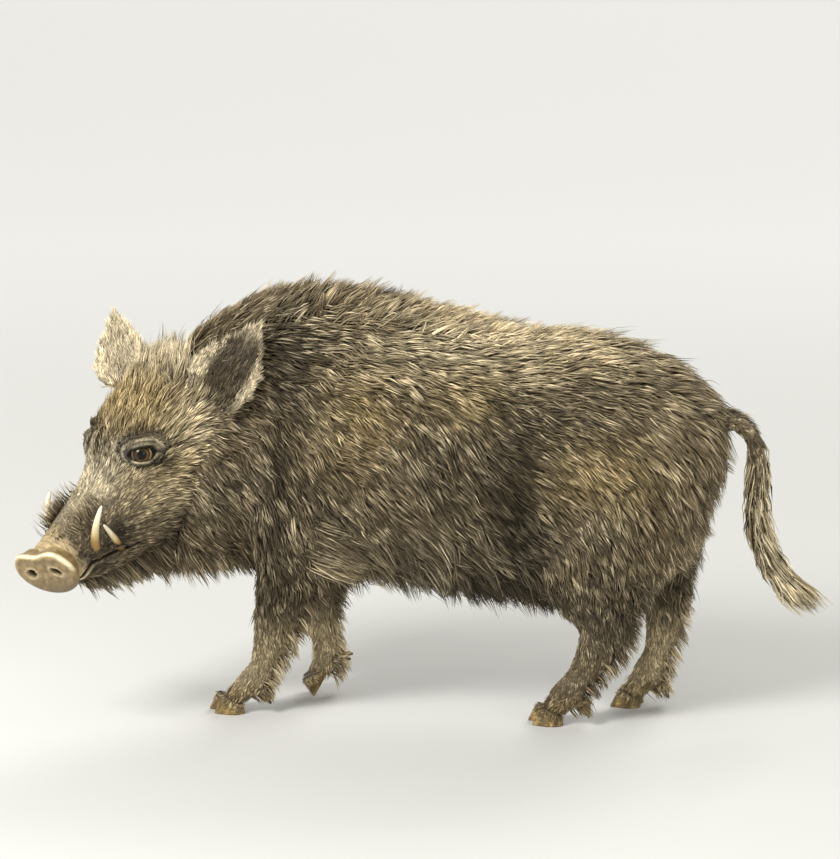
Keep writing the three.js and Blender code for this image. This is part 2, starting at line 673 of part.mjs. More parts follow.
// A place on the head, from a point and a direction in the head's frame.
const headDirection = (x, y, z) => direction(x, y, z).transformDirection(headFrame);
function headRoot(x, degrees, side) {
  const skin = onHead(x, degrees, side);
  const angle = degToRad(degrees);
  const outward = headDirection(0, side * Math.cos(angle), Math.sin(angle));
  return surface(skin.applyMatrix4(headFrame), outward);
}

// The beard along the jaw, which hangs straight down from the lowered head.
const beardLock = { chin: 20, throat: 112, width: 40, thick: 12, sink: 13 };
const beardSteps = 6;
for (let step = 0; step < beardSteps; step++) {
  [{ degrees: -58, side: 1 }, { degrees: -58, side: -1 }, { degrees: -90, side: 1 }].forEach((row) => {
    const share = (step + 0.5 + vary(0.2)) / beardSteps;
    const root = headRoot(lerp(430, 215, share), row.degrees, row.side);
    const hang = direction(0.12 + vary(0.12), vary(0.1), -1);
    const length = lerp(beardLock.chin, beardLock.throat, share ** 1.4);
    locks.push(...freeLock(root, hang, hang, sideways, { ...beardLock, length }));
  });
}

// The forelock stands up between the ears.
const forelock = { length: 74, width: 34, thick: 12, sink: 12 };
[36, 4].forEach((x) => {
  [{ degrees: 90, side: 1 }, { degrees: 62, side: 1 }, { degrees: 62, side: -1 }].forEach((row) => {
    const root = headRoot(x + vary(6), row.degrees, row.side);
    const start = headDirection(-0.5, vary(0.2), 0.85);
    const finish = headDirection(-0.95, vary(0.2), 0.5);
    locks.push(...freeLock(root, start, finish, headDirection(0, 1, 0), forelock));
  });
});

// The forehead's tuft runs up between the ears, and the cheeks' locks run back to the neck.
const foreheadLock = { length: 118, width: 58, thick: 11, stand: 26 };
[128, 66].forEach((x) => {
  [{ degrees: 90, side: 1 }, { degrees: 58, side: 1 }, { degrees: 58, side: -1 }].forEach((row) => {
    const root = headRoot(x + (row.degrees < 90 ? -20 : 0), row.degrees, row.side);
    locks.push(...lyingLock(root, headDirection(-1, 0, 0), foreheadLock));
  });
});
const cheekLock = { length: 120, width: 50, thick: 9, stand: 13 };
[150, 86].forEach((x) => {
  [6, -18, -42].forEach((degrees, row) => {
    bothSides.forEach((side) => {
      const root = headRoot(x + (row % 2) * 26, degrees, side);
      const lie = headDirection(-1, 0, -0.25);
      locks.push(...lyingLock(root, lie, cheekLock));
    });
  });
});

// The fringe down the back of each leg.
const legLock = { length: 66, width: 34, thick: 14, sink: 12 };
Object.values(legRows).forEach((rows) => {
  const sizeAt = smoothRows(rows);
  for (let step = 0; step < 4; step++) {
    const size = sizeAt(lerp(0.26, 0.68, (step + vary(0.2)) / 3));
    const back = new THREE.Vector3(size.x + size.fore, size.y + vary(size.side * 0.4), size.z);
    const root = surface(back, direction(1, 0, 0));
    const start = direction(0.75, 0, -0.65);
    const length = legLock.length * (1 - 0.08 * step);
    locks.push(...freeLock(root, start, direction(0.25, 0, -1), sideways, { ...legLock, length }));
  }
});

// The tail's tuft: locks that leave the dock one after the other and follow its curve.
const tuftLock = { width: 30, thick: 15 };
const tuftLocks = 7;
for (let step = 0; step < tuftLocks; step++) {
  const from = lerp(0.34, 0.7, step / (tuftLocks - 1));
  const to = Math.min(1, from + lerp(0.24, 0.36, step / tuftLocks));
  const turn = step * 2.4;
  const spread = lerp(7, 15, step / tuftLocks);
  const points = [0, 0.5, 1].map((share) => tailCurve.getPoint(lerp(from, to, share))
    .add(new THREE.Vector3(Math.cos(turn), Math.sin(turn), Math.cos(turn) * 0.6)
      .multiplyScalar(spread * Math.sin(share * 2.3))));
  locks.push(lock(points, sideways, tuftLock));
}

// ---- Pieces that are let into the body, each with a function that builds it, grown by a gap

const inserts = {};
bothSides.forEach((side) => {
  const name = side > 0 ? "left" : "right";
  inserts[`eye_${name}`] = (grow) => inHead(eye(side, grow));
  inserts[`ear_${name}`] = (grow) => inHead(ear(ears[name], grow));
  Object.entries(tusks).forEach(([kind, size]) => {
    inserts[`tusk_${kind}_${name}`] = (grow) => inHead(tusk(size, side, grow));
  });
});
inserts.snout_disc = (grow) => inHead(snoutDisc(grow).transform(snoutFrame.elements));

// What stands above the floor.
const aboveFloor = solid(new THREE.BoxGeometry(3000, 1200, 1000).translate(0, 0, 500));

Object.entries(feet).forEach(([name, foot]) => {
  const frame = new THREE.Matrix4().makeRotationFromEuler(
    new THREE.Euler(0, degToRad(foot.tip), degToRad(180 + foot.turn), "ZYX"),
  );
  bothSides.forEach((side) => {
    const toe = side * foot.y > 0 ? "outer" : "inner";
    const ahead = toe === "inner" ? foot.ahead : 0;
    const place = new THREE.Vector3(ahead, -side * (hoofWidth / 2 + 0.8), 0).applyMatrix4(frame);
    place.add(new THREE.Vector3(foot.x, foot.y, foot.lift));
    const hoofFrame = frame.clone().setPosition(place);
    const shape = (grow) => hoof(grow).transform(hoofFrame.elements);
    inserts[`hoof_${name}_${toe}`] = (grow) => (grow ? shape(grow) : shape(0).intersect(aboveFloor));
    const dewFrame = frame.clone().multiply(new THREE.Matrix4().makeRotationY(0.5));
    dewFrame.setPosition(foot.x + foot.dewX, foot.y + side * 19, foot.dewZ);
    inserts[`dewclaw_${name}_${toe}`] = (grow) => dewclaw(grow).transform(dewFrame.elements);
  });
});

// ---- Parting the body: each cutter holds what belongs to one node

// Behind a ring of the trunk.
const behind = (from, grow) => tube(12, 3, (angle, share, out, at) => {
  const middle = trunkPoint(angle, from * (1 - share), 0, new THREE.Vector3());
  trunkPoint(angle, from * (1 - share), 1, at).sub(middle);
  at.setLength((at.length() + 60) * out + 1e-3).add(middle);
  at.x += share ? share * 80 : -grow;
  return at;
});

// Round a leg, from inside the body down, opening out below the cut.
function roundLeg(rows, grow) {
  const sizeAt = smoothRows(rows);
  return tube(10, 5, (angle, share, out, at) => {
    const size = sizeAt(lerp(0.2, 1, share));
    const margin = lerp(-10, 46, Math.min(1, share * 3.5)) + grow;
    return at.set(
      size.x + (size.fore + margin) * Math.cos(angle) * out,
      size.y + (size.side + Math.min(margin, 32)) * Math.sin(angle) * out,
      size.z - 60 * share ** 4 + (share ? 0 : grow),
    );
  });
}

// Round part of the tail.
const roundTail = (from, to, grow) => alongCurve(tailCurve, () => 62 + grow, 10, 5, from - grow / 900, to);

// Below the line of the mouth.
function belowMouth(grow) {
  const outline = mouthRows.map((row) => new THREE.Vector2(row.x - grow, row.z + grow));
  outline[0].x += 40;
  outline.push(new THREE.Vector2(252 - grow, -340), new THREE.Vector2(510, -340));
  const side = new THREE.ExtrudeGeometry(new THREE.Shape(outline), { depth: 300, bevelEnabled: false });
  return inHead(solid(side.rotateX(Math.PI / 2).translate(0, 150, 0)));
}

const cutters = {
  ...Object.fromEntries(Object.entries(legRows).map(([name, rows]) => [
    `leg_${name}`,
    (grow) => roundLeg(rows, grow),
  ])),
  tail_dock: (grow) => roundTail(0.13, 0.6, grow),
  tail_tuft: (grow) => roundTail(0.6, 1.02, grow),
  torso: (grow) => behind(0.7, grow),
  neck: (grow) => behind(0.9, grow),
  lower_jaw: (grow) => belowMouth(grow),
};

// ---- The model

const looks = {
  coat: { color: 0x5d5038, roughness: 0.95 },
  snout: { color: 0xa98d62, roughness: 0.55 },
  ivory: { color: 0xe6d6ae, roughness: 0.35 },
  horn: { color: 0x9a8253, roughness: 0.5 },
  eye: { color: 0x2a1a0e, roughness: 0.08 },
};
const lookOf = (name) => {
  if (name.startsWith("tusk")) return looks.ivory;
  if (name.startsWith("hoof") || name.startsWith("dewclaw")) return looks.horn;
  if (name.startsWith("eye")) return looks.eye;
  return name === "snout_disc" ? looks.snout : looks.coat;
};

const boar = new THREE.Group();
function addNode(name, made) {
  const node = new THREE.Mesh(geometryOf(largest(made)), new THREE.MeshStandardMaterial(lookOf(name)));
  node.name = name;
  boar.add(node);
}

// The parts of the bare body, and for each the rest of the body, grown by the gap.
const parts = {};
const grooves = bothSides.map((side) => inHead(mouthGroove(side)));
const trimmed = bare.subtract(wasm.Manifold.union(grooves));
const grown = body(cutGap);
let taken = wasm.Manifold.union([]);
Object.entries(cutters).forEach(([name, cutter]) => {
  const region = cutter(0).subtract(taken);
  parts[name] = { core: trimmed.intersect(region), others: grown.subtract(region) };
  taken = taken.add(cutter(cutGap));
});
parts.head = { core: trimmed.subtract(taken), others: grown.intersect(taken) };

// Each lock belongs to the part that its root is in.
locks.forEach((lock) => {
  const bud = solid(new THREE.SphereGeometry(9, 6, 4).translate(...lock.root.toArray()));
  const held = Object.entries(parts).map(([name, { core }]) => [core.intersect(bud).volume(), name]);
  const [most, name] = held.reduce((a, b) => (b[0] > a[0] ? b : a));
  lock.part = most > 0 ? name : "none";
});

// The parts from the front to the back: each one's locks lie over the next one's.
const order = ["head", "lower_jaw", "neck", "torso", ...Object.keys(cutters).slice(0, 6)];
const holes = [];
Object.entries(inserts).forEach(([name, build]) => {
  holes.push(build(cutGap));
  addNode(name, build(0));
});
const hole = wasm.Manifold.union(holes);
let above = wasm.Manifold.union([]);
order.forEach((name) => {
  const { core, others } = parts[name];
  const own = locks.filter((lock) => lock.part === name);
  const coat = wasm.Manifold.union(own.map((lock) => lock.build(0)));
  addNode(name, core.add(coat.subtract(others).subtract(above)).subtract(hole));
  above = above.add(wasm.Manifold.union(own.map((lock) => lock.build(cutGap))));
});

const box = new THREE.Box3().setFromObject(boar);
boar.position.set(-(box.min.x + box.max.x) / 2, -(box.min.y + box.max.y) / 2, -box.min.z);

export default boar;
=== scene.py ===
import math

import bmesh
import bpy
import numpy as np
from mathutils import Matrix, Vector
from mathutils.kdtree import KDTree


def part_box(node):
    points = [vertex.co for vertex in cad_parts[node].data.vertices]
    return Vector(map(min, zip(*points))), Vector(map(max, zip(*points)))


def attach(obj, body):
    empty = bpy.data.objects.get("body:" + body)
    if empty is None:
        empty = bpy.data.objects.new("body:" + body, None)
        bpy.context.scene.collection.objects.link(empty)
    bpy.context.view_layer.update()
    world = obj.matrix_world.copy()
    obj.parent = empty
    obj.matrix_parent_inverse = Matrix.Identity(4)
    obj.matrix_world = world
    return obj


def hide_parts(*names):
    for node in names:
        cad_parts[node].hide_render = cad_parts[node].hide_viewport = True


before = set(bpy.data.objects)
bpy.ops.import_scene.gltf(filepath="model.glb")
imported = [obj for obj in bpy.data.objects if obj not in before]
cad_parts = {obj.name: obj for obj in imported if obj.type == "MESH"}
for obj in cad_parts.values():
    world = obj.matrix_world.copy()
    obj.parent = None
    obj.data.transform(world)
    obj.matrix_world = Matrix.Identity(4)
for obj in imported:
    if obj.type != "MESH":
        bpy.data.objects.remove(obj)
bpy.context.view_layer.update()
rng = np.random.default_rng(12)  # every random draw for the coat comes from here

# The shapes below are measured from a point on the floor under the girth, in millimetres.
# This is where that point lies in the frame, from the low corner of one hoof.
hoofCorner = np.array([-402.25, -85.75, 0.0])
boarPlace = np.array(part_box("hoof_front_left_outer")[0]) * 1000 - hoofCorner


def inFrame(points):
    # from the boar's millimetres to the frame's metres
    return (np.asarray(points, float) + boarPlace) / 1000


print("frame loaded, boar placed at", np.round(boarPlace, 1))


def tableRows(columns, *rows):
    # one dictionary for each row of a table: its name, then a value for each column
    return [dict(zip(["name"] + columns.split(), row)) for row in rows]


def smoothRows(rows):
    # a function that runs smoothly through the rows as its argument goes from 0 to 1
    names = [key for key in rows[0] if key != "name"]
    table = np.array([[row[key] for key in names] for row in rows], float)
    table = np.vstack([2 * table[0] - table[1], table, 2 * table[-1] - table[-2]])

    def sizesAt(along):
        place = np.clip(along, 0, 1) * (len(rows) - 1)
        step = np.minimum(place.astype(int), len(rows) - 2)
        part = (place - step)[:, None]
        before, start, end, after = (table[step + k] for k in range(4))
        bend = 2 * before - 5 * start + 4 * end - after
        twist = 3 * (start - end) + after - before
        value = start + 0.5 * part * (end - before + part * (bend + part * twist))
        return {name: value[:, i] for i, name in enumerate(names)}
    return sizesAt


def signedPower(value, power):
    return np.sign(value) * np.abs(value) ** power


def mix(a, b, share):
    return a + (b - a) * share


def clamp01(value):
    return np.clip(value, 0, 1)


def softStep(low, high, value):
    share = clamp01((value - low) / (high - low))
    return share * share * (3 - 2 * share)


def hill(value, middle, reach):
    # 1 at the middle, and near to nothing at twice the reach
    return np.exp(-((value - middle) / reach) ** 2)


def unit(vectors):
    length = np.linalg.norm(vectors, axis=-1, keepdims=True)
    return vectors / np.maximum(length, 1e-9)


def waves(points, size, seed, count=5):
    # a smooth pattern between about -1 and 1, with features of that size in millimetres
    made = np.random.default_rng(seed)
    total = np.zeros(len(points))
    for _ in range(count):
        way = made.normal(size=3)
        way *= made.uniform(0.6, 1.5) * 2 * math.pi / size / np.linalg.norm(way)
        total += np.sin(points @ way + made.uniform(0, 6.28) + 1.3 * np.sin(points[:, ::-1] @ way * 0.6))
    return total / math.sqrt(count)


def turnMatrix(turnX, turnY, turnZ, place):
    # turns about x, then y, then z, in degrees
    made = (Matrix.Rotation(math.radians(turnZ), 4, "Z")
            @ Matrix.Rotation(math.radians(turnY), 4, "Y")
            @ Matrix.Rotation(math.radians(turnX), 4, "X"))
    made.translation = place
    return np.array(made)


def moved(points, matrix):
    return points @ matrix[:3, :3].T + matrix[:3, 3]


def movedBack(points, matrix):
    return moved(points, np.linalg.inv(matrix))


def axesAt(x, y, z, place):
    # the frame with these three axes at that place
    made = np.eye(4)
    made[:3] = np.column_stack([x, y, z, place])
    return made


def ringPlaces(sides, steps):
    # each point of a tube's rings: its angle round the tube, and its place from 0 to 1 along it
    turns = np.arange(sides) / sides * 2 * math.pi
    return np.tile(turns, steps + 1), np.repeat(np.linspace(0, 1, steps + 1), sides)


def tubeGrid(sides, steps, place):
    # a closed tube: rings from end to end, each end closed by a fan. Returns points and faces.
    angles, along = ringPlaces(sides, steps)
    rim = place(angles, along, np.ones(len(along)))
    ends = place(np.zeros(2), np.array([0.0, 1.0]), np.zeros(2))
    faces = []
    for ring in range(steps):
        for side in range(sides):
            a = ring * sides + side
            b = ring * sides + (side + 1) % sides
            faces.append((a, b, b + sides, a + sides))
    first = len(rim)
    last = steps * sides
    for side in range(sides):
        after = (side + 1) % sides
        faces.append((side, first, after))
        faces.append((last + side, last + after, first + 1))
    return np.vstack([rim, ends]), faces


def joined(parts):
    points = []
    faces = []
    start = 0
    for made, loops in parts:
        points.append(made)
        faces += [tuple(i + start for i in loop) for loop in loops]
        start += len(made)
    return np.vstack(points), faces


def newObject(name, data):
    made = bpy.data.objects.new(name, data)
    bpy.context.scene.collection.objects.link(made)
    return made


def newPiece(name, points, faces, material):
    mesh = bpy.data.meshes.new(name)
    mesh.from_pydata(inFrame(points).tolist(), [], faces)
    mesh.validate()
    mesh.polygons.foreach_set("use_smooth", [True] * len(mesh.polygons))
    outward(mesh)
    mesh.materials.append(material)
    piece = newObject(name, mesh)
    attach(piece, "root")
    return piece


def outward(mesh):
    # faces point out of the closed mesh
    made = bmesh.new()
    made.from_mesh(mesh)
    bmesh.ops.recalc_face_normals(made, faces=made.faces)
    made.to_mesh(mesh)
    made.free()


# The body's sections. Each is egg-shaped: top and low are its edges, half is half its width, level is
# how far up it is widest, and ridge and keel are how much narrower it is at its top and foot.
# Turn is the degrees that it faces to the left, square below 1 makes it fuller, and shift moves it.

trunkRows = tableRows(
    "x y top low half level ridge keel turn",
    ("dock", 584, 0, 590, 530, 26, 0.5, 0.1, 0.1, 0),
    ("seat", 556, 0, 640, 452, 92, 0.5, 0.2, 0.2, 0),
    ("croup", 500, 0, 692, 322, 140, 0.5, 0.24, 0.2, 0),
    ("hip", 410, 0, 736, 272, 166, 0.5, 0.26, 0.15, 0),
    ("loin", 300, 0, 760, 250, 178, 0.47, 0.28, 0.1, 0),
    ("flank", 185, 0, 762, 252, 190, 0.44, 0.3, 0.08, 0),
    ("barrel", 60, 0, 783, 268, 199, 0.43, 0.32, 0.08, 0),
    ("girth", -70, 0, 808, 286, 197, 0.43, 0.36, 0.1, 0),
    ("withers", -190, 0, 822, 290, 184, 0.44, 0.42, 0.15, 0),
    ("shoulder", -290, -6, 817, 292, 172, 0.45, 0.42, 0.2, 6),
    ("neck", -370, -20, 790, 306, 160, 0.45, 0.4, 0.25, 16),
    ("nape", -436, -48, 742, 302, 142, 0.45, 0.36, 0.34, 28),
    ("inside head", -486, -80, 660, 316, 92, 0.5, 0.3, 0.36, 38),
)
headRows = tableRows(
    "x top low half level ridge keel square shift",
    ("neck", -60, -52, -178, 62, 0.5, 0.2, 0.2, 0.9, 0),
    ("nape", -14, -10, -244, 108, 0.5, 0.12, 0.3, 0.8, 0),
    ("ears", 40, 12, -262, 126, 0.52, 0.06, 0.32, 0.68, 0),
    ("jowl", 105, 22, -262, 122, 0.54, 0.04, 0.36, 0.58, 0),
    ("brow", 168, 19, -248, 105, 0.58, 0, 0.38, 0.52, 0),
    ("eye", 214, 7, -234, 91, 0.6, 0.04, 0.38, 0.54, 0),
    ("cheek", 270, -3, -213, 77, 0.6, 0.06, 0.36, 0.58, 0),
    ("bridge", 325, -1, -186, 67, 0.56, 0.06, 0.3, 0.6, 0),
    ("tusks", 385, 3, -150, 61, 0.5, 0.08, 0.24, 0.64, 0),
    ("lips", 425, 10, -116, 56, 0.48, 0.08, 0.2, 0.7, 3),
    ("tip", 458, 19, -72, 52, 0.5, 0.06, 0.12, 0.76, 8),
)
# bumps and hollows of the face: where along the head and round it, how far they reach, how high
faceForms = tableRows(
    "x angle reach spread height",
    ("brow ridge", 178, 56, 26, 13, 13),
    ("eye socket", 206, 47, 20, 9, -9),
    ("cheekbone", 204, 20, 40, 14, 9),
    ("jaw muscle", 96, -28, 48, 22, 8),
    ("side of the nose", 292, 34, 45, 14, -8),
    ("tusk lip", 390, 2, 22, 16, 10),
    ("jaw hollow", 300, -40, 45, 13, -6),
)
# fore and side: half the leg's depth and half its width
legRows = {
    "front_left": tableRows(
        "x y z fore side",
        ("shoulder", -232, -84, 520, 84, 66),
        ("upper arm", -236, -104, 420, 98, 66),
        ("elbow", -232, -92, 325, 80, 56),
        ("forearm", -252, -88, 250, 62, 48),
        ("above the knee", -276, -74, 188, 44, 36),
        ("knee", -287, -66, 145, 37, 33),
        ("cannon", -303, -60, 104, 31, 27),
        ("fetlock", -322, -56, 74, 34, 31),
        ("pastern", -342, -54, 48, 34, 31),
        ("coronet", -359, -54, 26, 27, 30),
    ),
    "front_right": tableRows(
        "x y z fore side",
        ("shoulder", -222, 84, 520, 84, 66),
        ("upper arm", -226, 104, 420, 96, 66),
        ("elbow", -216, 102, 325, 80, 58),
        ("forearm", -214, 94, 250, 56, 46),
        ("above the knee", -214, 88, 190, 41, 35),
        ("knee", -212, 85, 150, 36, 33),
        ("cannon", -200, 85, 112, 30, 27),
        ("fetlock", -193, 85, 82, 31, 31),
        ("pastern", -201, 85, 62, 31, 30),
        ("coronet", -209, 85, 44, 26, 29),
    ),
    "hind_left": tableRows(
        "x y z fore side",
        ("haunch", 400, -78, 560, 118, 74),
        ("thigh", 372, -96, 430, 140, 74),
        ("stifle", 342, -98, 320, 122, 64),
        ("gaskin", 348, -94, 245, 82, 48),
        ("above the hock", 364, -90, 200, 55, 37),
        ("hock", 360, -88, 166, 47, 33),
        ("cannon", 330, -85, 110, 36, 27),
        ("fetlock", 302, -82, 74, 38, 31),
        ("pastern", 286, -80, 48, 34, 31),
        ("coronet", 272, -80, 26, 28, 30),
    ),
    "hind_right": tableRows(
        "x y z fore side",
        ("haunch", 420, 78, 560, 112, 74),
        ("thigh", 432, 94, 430, 118, 72),
        ("stifle", 446, 90, 330, 92, 60),
        ("gaskin", 466, 78, 262, 58, 45),
        ("above the hock", 478, 70, 222, 45, 36),
        ("hock", 480, 66, 188, 38, 32),
        ("cannon", 470, 64, 122, 30, 27),
        ("fetlock", 455, 62, 82, 34, 31),
        ("pastern", 440, 60, 54, 32, 31),
        ("coronet", 428, 60, 28, 27, 30),
    ),
}
tailPoints = [
    (556, 0, 586), (602, 0, 592), (641, 2, 562), (657, 5, 500), (655, 8, 430),
    (664, 10, 362), (694, 12, 300), (736, 13, 248), (784, 14, 202),
]

headTurn = dict(turn=46, drop=48.8, poll=(-487, -70, 702))
headFrame = turnMatrix(0, headTurn["drop"], 180 + headTurn["turn"], headTurn["poll"])
headBack = np.linalg.inv(headFrame)

trunkAt = smoothRows(trunkRows)
headAt = smoothRows(headRows)


def eggSection(size, square, angle, out):
    # across and up, at an angle where 90 degrees is the back
    side = np.cos(angle)
    rise = np.sin(angle)
    widest = mix(size["low"], size["top"], size["level"])
    narrow = np.where(rise > 0, size["ridge"] * rise, -size["keel"] * rise)
    reach = np.where(rise > 0, size["top"] - widest, widest - size["low"])
    across = signedPower(side, square) * size["half"] * (1 - narrow) * out
    return across, widest, signedPower(rise, square) * reach * out


def trunkPlace(inset):
    def place(angle, along, out):
        size = trunkAt(along)
        across, widest, rise = eggSection(size, skinForm["trunkSquare"], angle, out)
        reach = np.maximum(np.hypot(across, rise), 1e-6)
        depth = inset * np.ones(len(angle)) * clamp01(6 * np.minimum(along, 1 - along) + 0.3)
        shrink = np.maximum(1 - depth / reach, 0.3) * (out > 0)
        turn = np.radians(size["turn"])
        across = across * shrink
        return np.column_stack([
            size["x"] + across * np.sin(turn),
            size["y"] - across * np.cos(turn),
            widest + rise * shrink,
        ])
    return place


def faceHeight(x, degrees):
    folded = np.where(np.abs(degrees) > 90, np.sign(degrees) * 180 - degrees, degrees)
    total = np.zeros(len(x))
    for form in faceForms:
        far = ((x - form["x"]) / form["reach"]) ** 2 + ((folded - form["angle"]) / form["spread"]) ** 2
        total += form["height"] * np.exp(-far)
    return total


def headPlace(inset):
    def place(angle, along, out):
        angle = (angle + math.pi) % (2 * math.pi) - math.pi
        size = headAt(along)
        across, widest, rise = eggSection(size, size["square"], angle, out)
        bump = (faceHeight(size["x"], np.degrees(angle)) - inset * headDepth(size["x"])) * out
        return np.column_stack([
            size["x"],
            across + size["shift"] + bump * np.cos(angle),
            widest + rise + bump * np.sin(angle),
        ])
    return place


def headDepth(x):
    # how deep the coat's core is on the head: thin on the muzzle, thick at the nape
    return mix(1.0, 0.25, softStep(60, 380, x))


def legPlace(rows, inset):
    sizesAt = smoothRows(rows)

    def place(angle, along, out):
        size = sizesAt(along)
        return np.column_stack([
            size["x"] + (size["fore"] - inset) * np.cos(angle) * out,
            size["y"] + (size["side"] - inset) * np.sin(angle) * out,
            size["z"],
        ])
    return place


tailAt = smoothRows([dict(x=x, y=y, z=z) for x, y, z in tailPoints])


def curvePoint(along):
    size = tailAt(along)
    return np.column_stack([size["x"], size["y"], size["z"]])


def alongCurve(pointAt, radiusAt, start=0.0, end=1.0):
    # a round tube along a curve in a nearly upright plane
    def place(angle, share, out):
        at = mix(start, end, share)
        ahead = unit(pointAt(np.minimum(at + 0.01, 1)) - pointAt(np.maximum(at - 0.01, 0)))
        side = unit(np.cross(np.array([0.0, 1.0, 0.0]), ahead))
        up = np.cross(ahead, side)
        radius = radiusAt(share) * out
        return pointAt(at) + side * (radius * np.cos(angle))[:, None] + up * (radius * np.sin(angle))[:, None]
    return place


# The skin: one closed form from muzzle to tail, under the coat.

skinForm = dict(
    voxel=5.2,  # millimetres
    trunkSquare=0.92,  # below 1 makes the trunk fuller
    trunkInset=9,
    headInset=7,
    legInset=4,
    smoothing=4,
)
earForm = dict(thickness=8, rows=tableRows(
    "width cup thick",
    ("root", 0.7, 0.5, 1.5),
    ("bowl", 1, 0.42, 1.25),
    ("middle", 1, 0.3, 1),
    ("upper", 0.8, 0.22, 0.9),
    ("near tip", 0.42, 0.14, 0.8),
    ("tip", 0.06, 0.02, 0.5),
))
# faces: the way that the cup opens; pale: how cream the ear is; deep: how dark its inside is, partly
# painted shade in the cup
ears = {
    "left": dict(width=138, root=(20, 124, -56), tip=(-132, 158, -28), faces=(0.46, 0.51, 0.81),
                 pale=0.65, deep=0.9),
    "right": dict(width=118, root=(38, -104, -12), tip=(-54, -146, 70), faces=(0.41, 0.35, 0.82),
                  pale=1.0, deep=0.12),
}


def earFrame(ear):
    # axes across the ear, out of its cup and up to its tip, and its length
    root = np.array(ear["root"], float)
    up = np.array(ear["tip"], float) - root
    length = np.linalg.norm(up)
    up /= length
    out = np.array(ear["faces"], float)
    out = unit(out - up * (out @ up))
    return headFrame @ axesAt(np.cross(out, up), out, up, root), length


def earPlace(ear):
    made, length = earFrame(ear)
    sizesAt = smoothRows(earForm["rows"])

    def place(angle, along, out):
        size = sizesAt(along)
        across = np.cos(angle) * out
        half = ear["width"] / 2 * size["width"] * 0.97
        slope = np.arctan(3.2 * size["cup"] * across)
        shell = earForm["thickness"] / 2 * size["thick"] * np.sin(angle) * out
        local = np.column_stack([
            half * across - shell * np.sin(slope),
            half * size["cup"] * (across ** 2 * 1.6 - 0.5) + shell * np.cos(slope),
            mix(-22, length - 3, along),
        ])
        return moved(local, made)
    return place


def inHead(place):
    return lambda angle, along, out: moved(place(angle, along, out), headFrame)


def tailRadius(share):
    return mix(21, 7, np.minimum(1, share * 1.5))


charts = {
    "trunk": dict(place=trunkPlace(skinForm["trunkInset"]), sides=64, steps=110),
    "head": dict(place=inHead(headPlace(skinForm["headInset"])), sides=80, steps=90),
    "tail": dict(place=alongCurve(curvePoint, tailRadius, 0, 0.74), sides=20, steps=60),
}
for leg, rows in legRows.items():
    charts["leg_" + leg] = dict(place=legPlace(rows, skinForm["legInset"]), sides=28, steps=60)
for side, ear in ears.items():
    charts["ear_" + side] = dict(place=earPlace(ear), sides=48, steps=36)

# Each foot: turn is its degrees to the side, tip the degrees that a raised foot hangs forward, lift its
# height, ahead how far the inner toe stands in front, and dewX and dewZ where its dewclaws are.
feet = {
    "front_left": dict(x=-365, y=-54, turn=4, tip=0, lift=0, ahead=12, dewX=65, dewZ=44),
    "front_right": dict(x=-204, y=85, turn=4, tip=62, lift=31, ahead=0, dewX=34, dewZ=78),
    "hind_left": dict(x=264, y=-80, turn=3, tip=0, lift=0, ahead=8, dewX=62, dewZ=40),
    "hind_right": dict(x=420, y=60, turn=3, tip=0, lift=0, ahead=8, dewX=60, dewZ=42),
}
# the ends of the pad that holds a dewclaw, measured from between the two dewclaws
heelForm = dict(radius=15, inside=(-34, 8, 22), claw=(-4, 19, 12))


def heelPlace(foot, side):
    # a pad of flesh that holds a dewclaw to the back of its foot
    middle = np.array([foot["x"] + foot["dewX"], foot["y"], foot["dewZ"]], float)
    inside, claw = (middle + np.array(heelForm[end]) * (1, side, 1) for end in ("inside", "claw"))

    def pointAt(share):
        return mix(inside, claw, np.asarray(share)[:, None])

    def radiusAt(share):
        return heelForm["radius"] * np.sqrt(np.maximum(1 - (0.85 * share) ** 4, 0))
    return alongCurve(pointAt, radiusAt)


forms = [tubeGrid(chart["sides"], chart["steps"], chart["place"]) for chart in charts.values()]
forms += [tubeGrid(16, 8, heelPlace(foot, side)) for foot in feet.values() for side in (-1, 1)]
bodyPoints, bodyFaces = joined(forms)


def remeshed(points, faces, voxel):
    mesh = bpy.data.meshes.new("rough")
    mesh.from_pydata((points / 1000).tolist(), [], faces)
    outward(mesh)
    rough = newObject("rough", mesh)
    change = rough.modifiers.new("remesh", "REMESH")
    change.mode = "VOXEL"
    change.voxel_size = voxel / 1000
    made = bpy.data.meshes.new_from_object(rough.evaluated_get(bpy.context.evaluated_depsgraph_get()))
    bpy.data.objects.remove(rough)
    return made


skinMesh = remeshed(bodyPoints, bodyFaces, skinForm["voxel"])


def readAll(items, key, size, kind=float):
    # one row of values for each item of a mesh
    flat = np.empty(len(items) * size, kind)
    items.foreach_get(key, flat)
    return flat.reshape(-1, size)


def pointsOf(mesh):
    return readAll(mesh.vertices, "co", 3) * 1000


def normalsOf(mesh):
    return readAll(mesh.vertices, "normal", 3)


def edgesOf(mesh):
    return readAll(mesh.edges, "vertices", 2, int)


def trianglesOf(mesh):
    mesh.calc_loop_triangles()
    return readAll(mesh.loop_triangles, "vertices", 3, int)


def triangleAreas(points, triangles):
    a, b, c = (points[triangles[:, k]] for k in range(3))
    return np.linalg.norm(np.cross(b - a, c - a), axis=1) / 2


def smoothed(values, edges, rounds, share=0.6):
    # each point's values move towards the mean of its neighbours'
    both = np.vstack([edges, edges[:, ::-1]])
    count = np.bincount(both[:, 0], minlength=len(values))
    values = np.array(values, float)
    for _ in range(rounds):
        for column in values.T:
            mean = np.bincount(both[:, 0], column[both[:, 1]], len(values)) / count
            column += (mean - column) * share
    return values


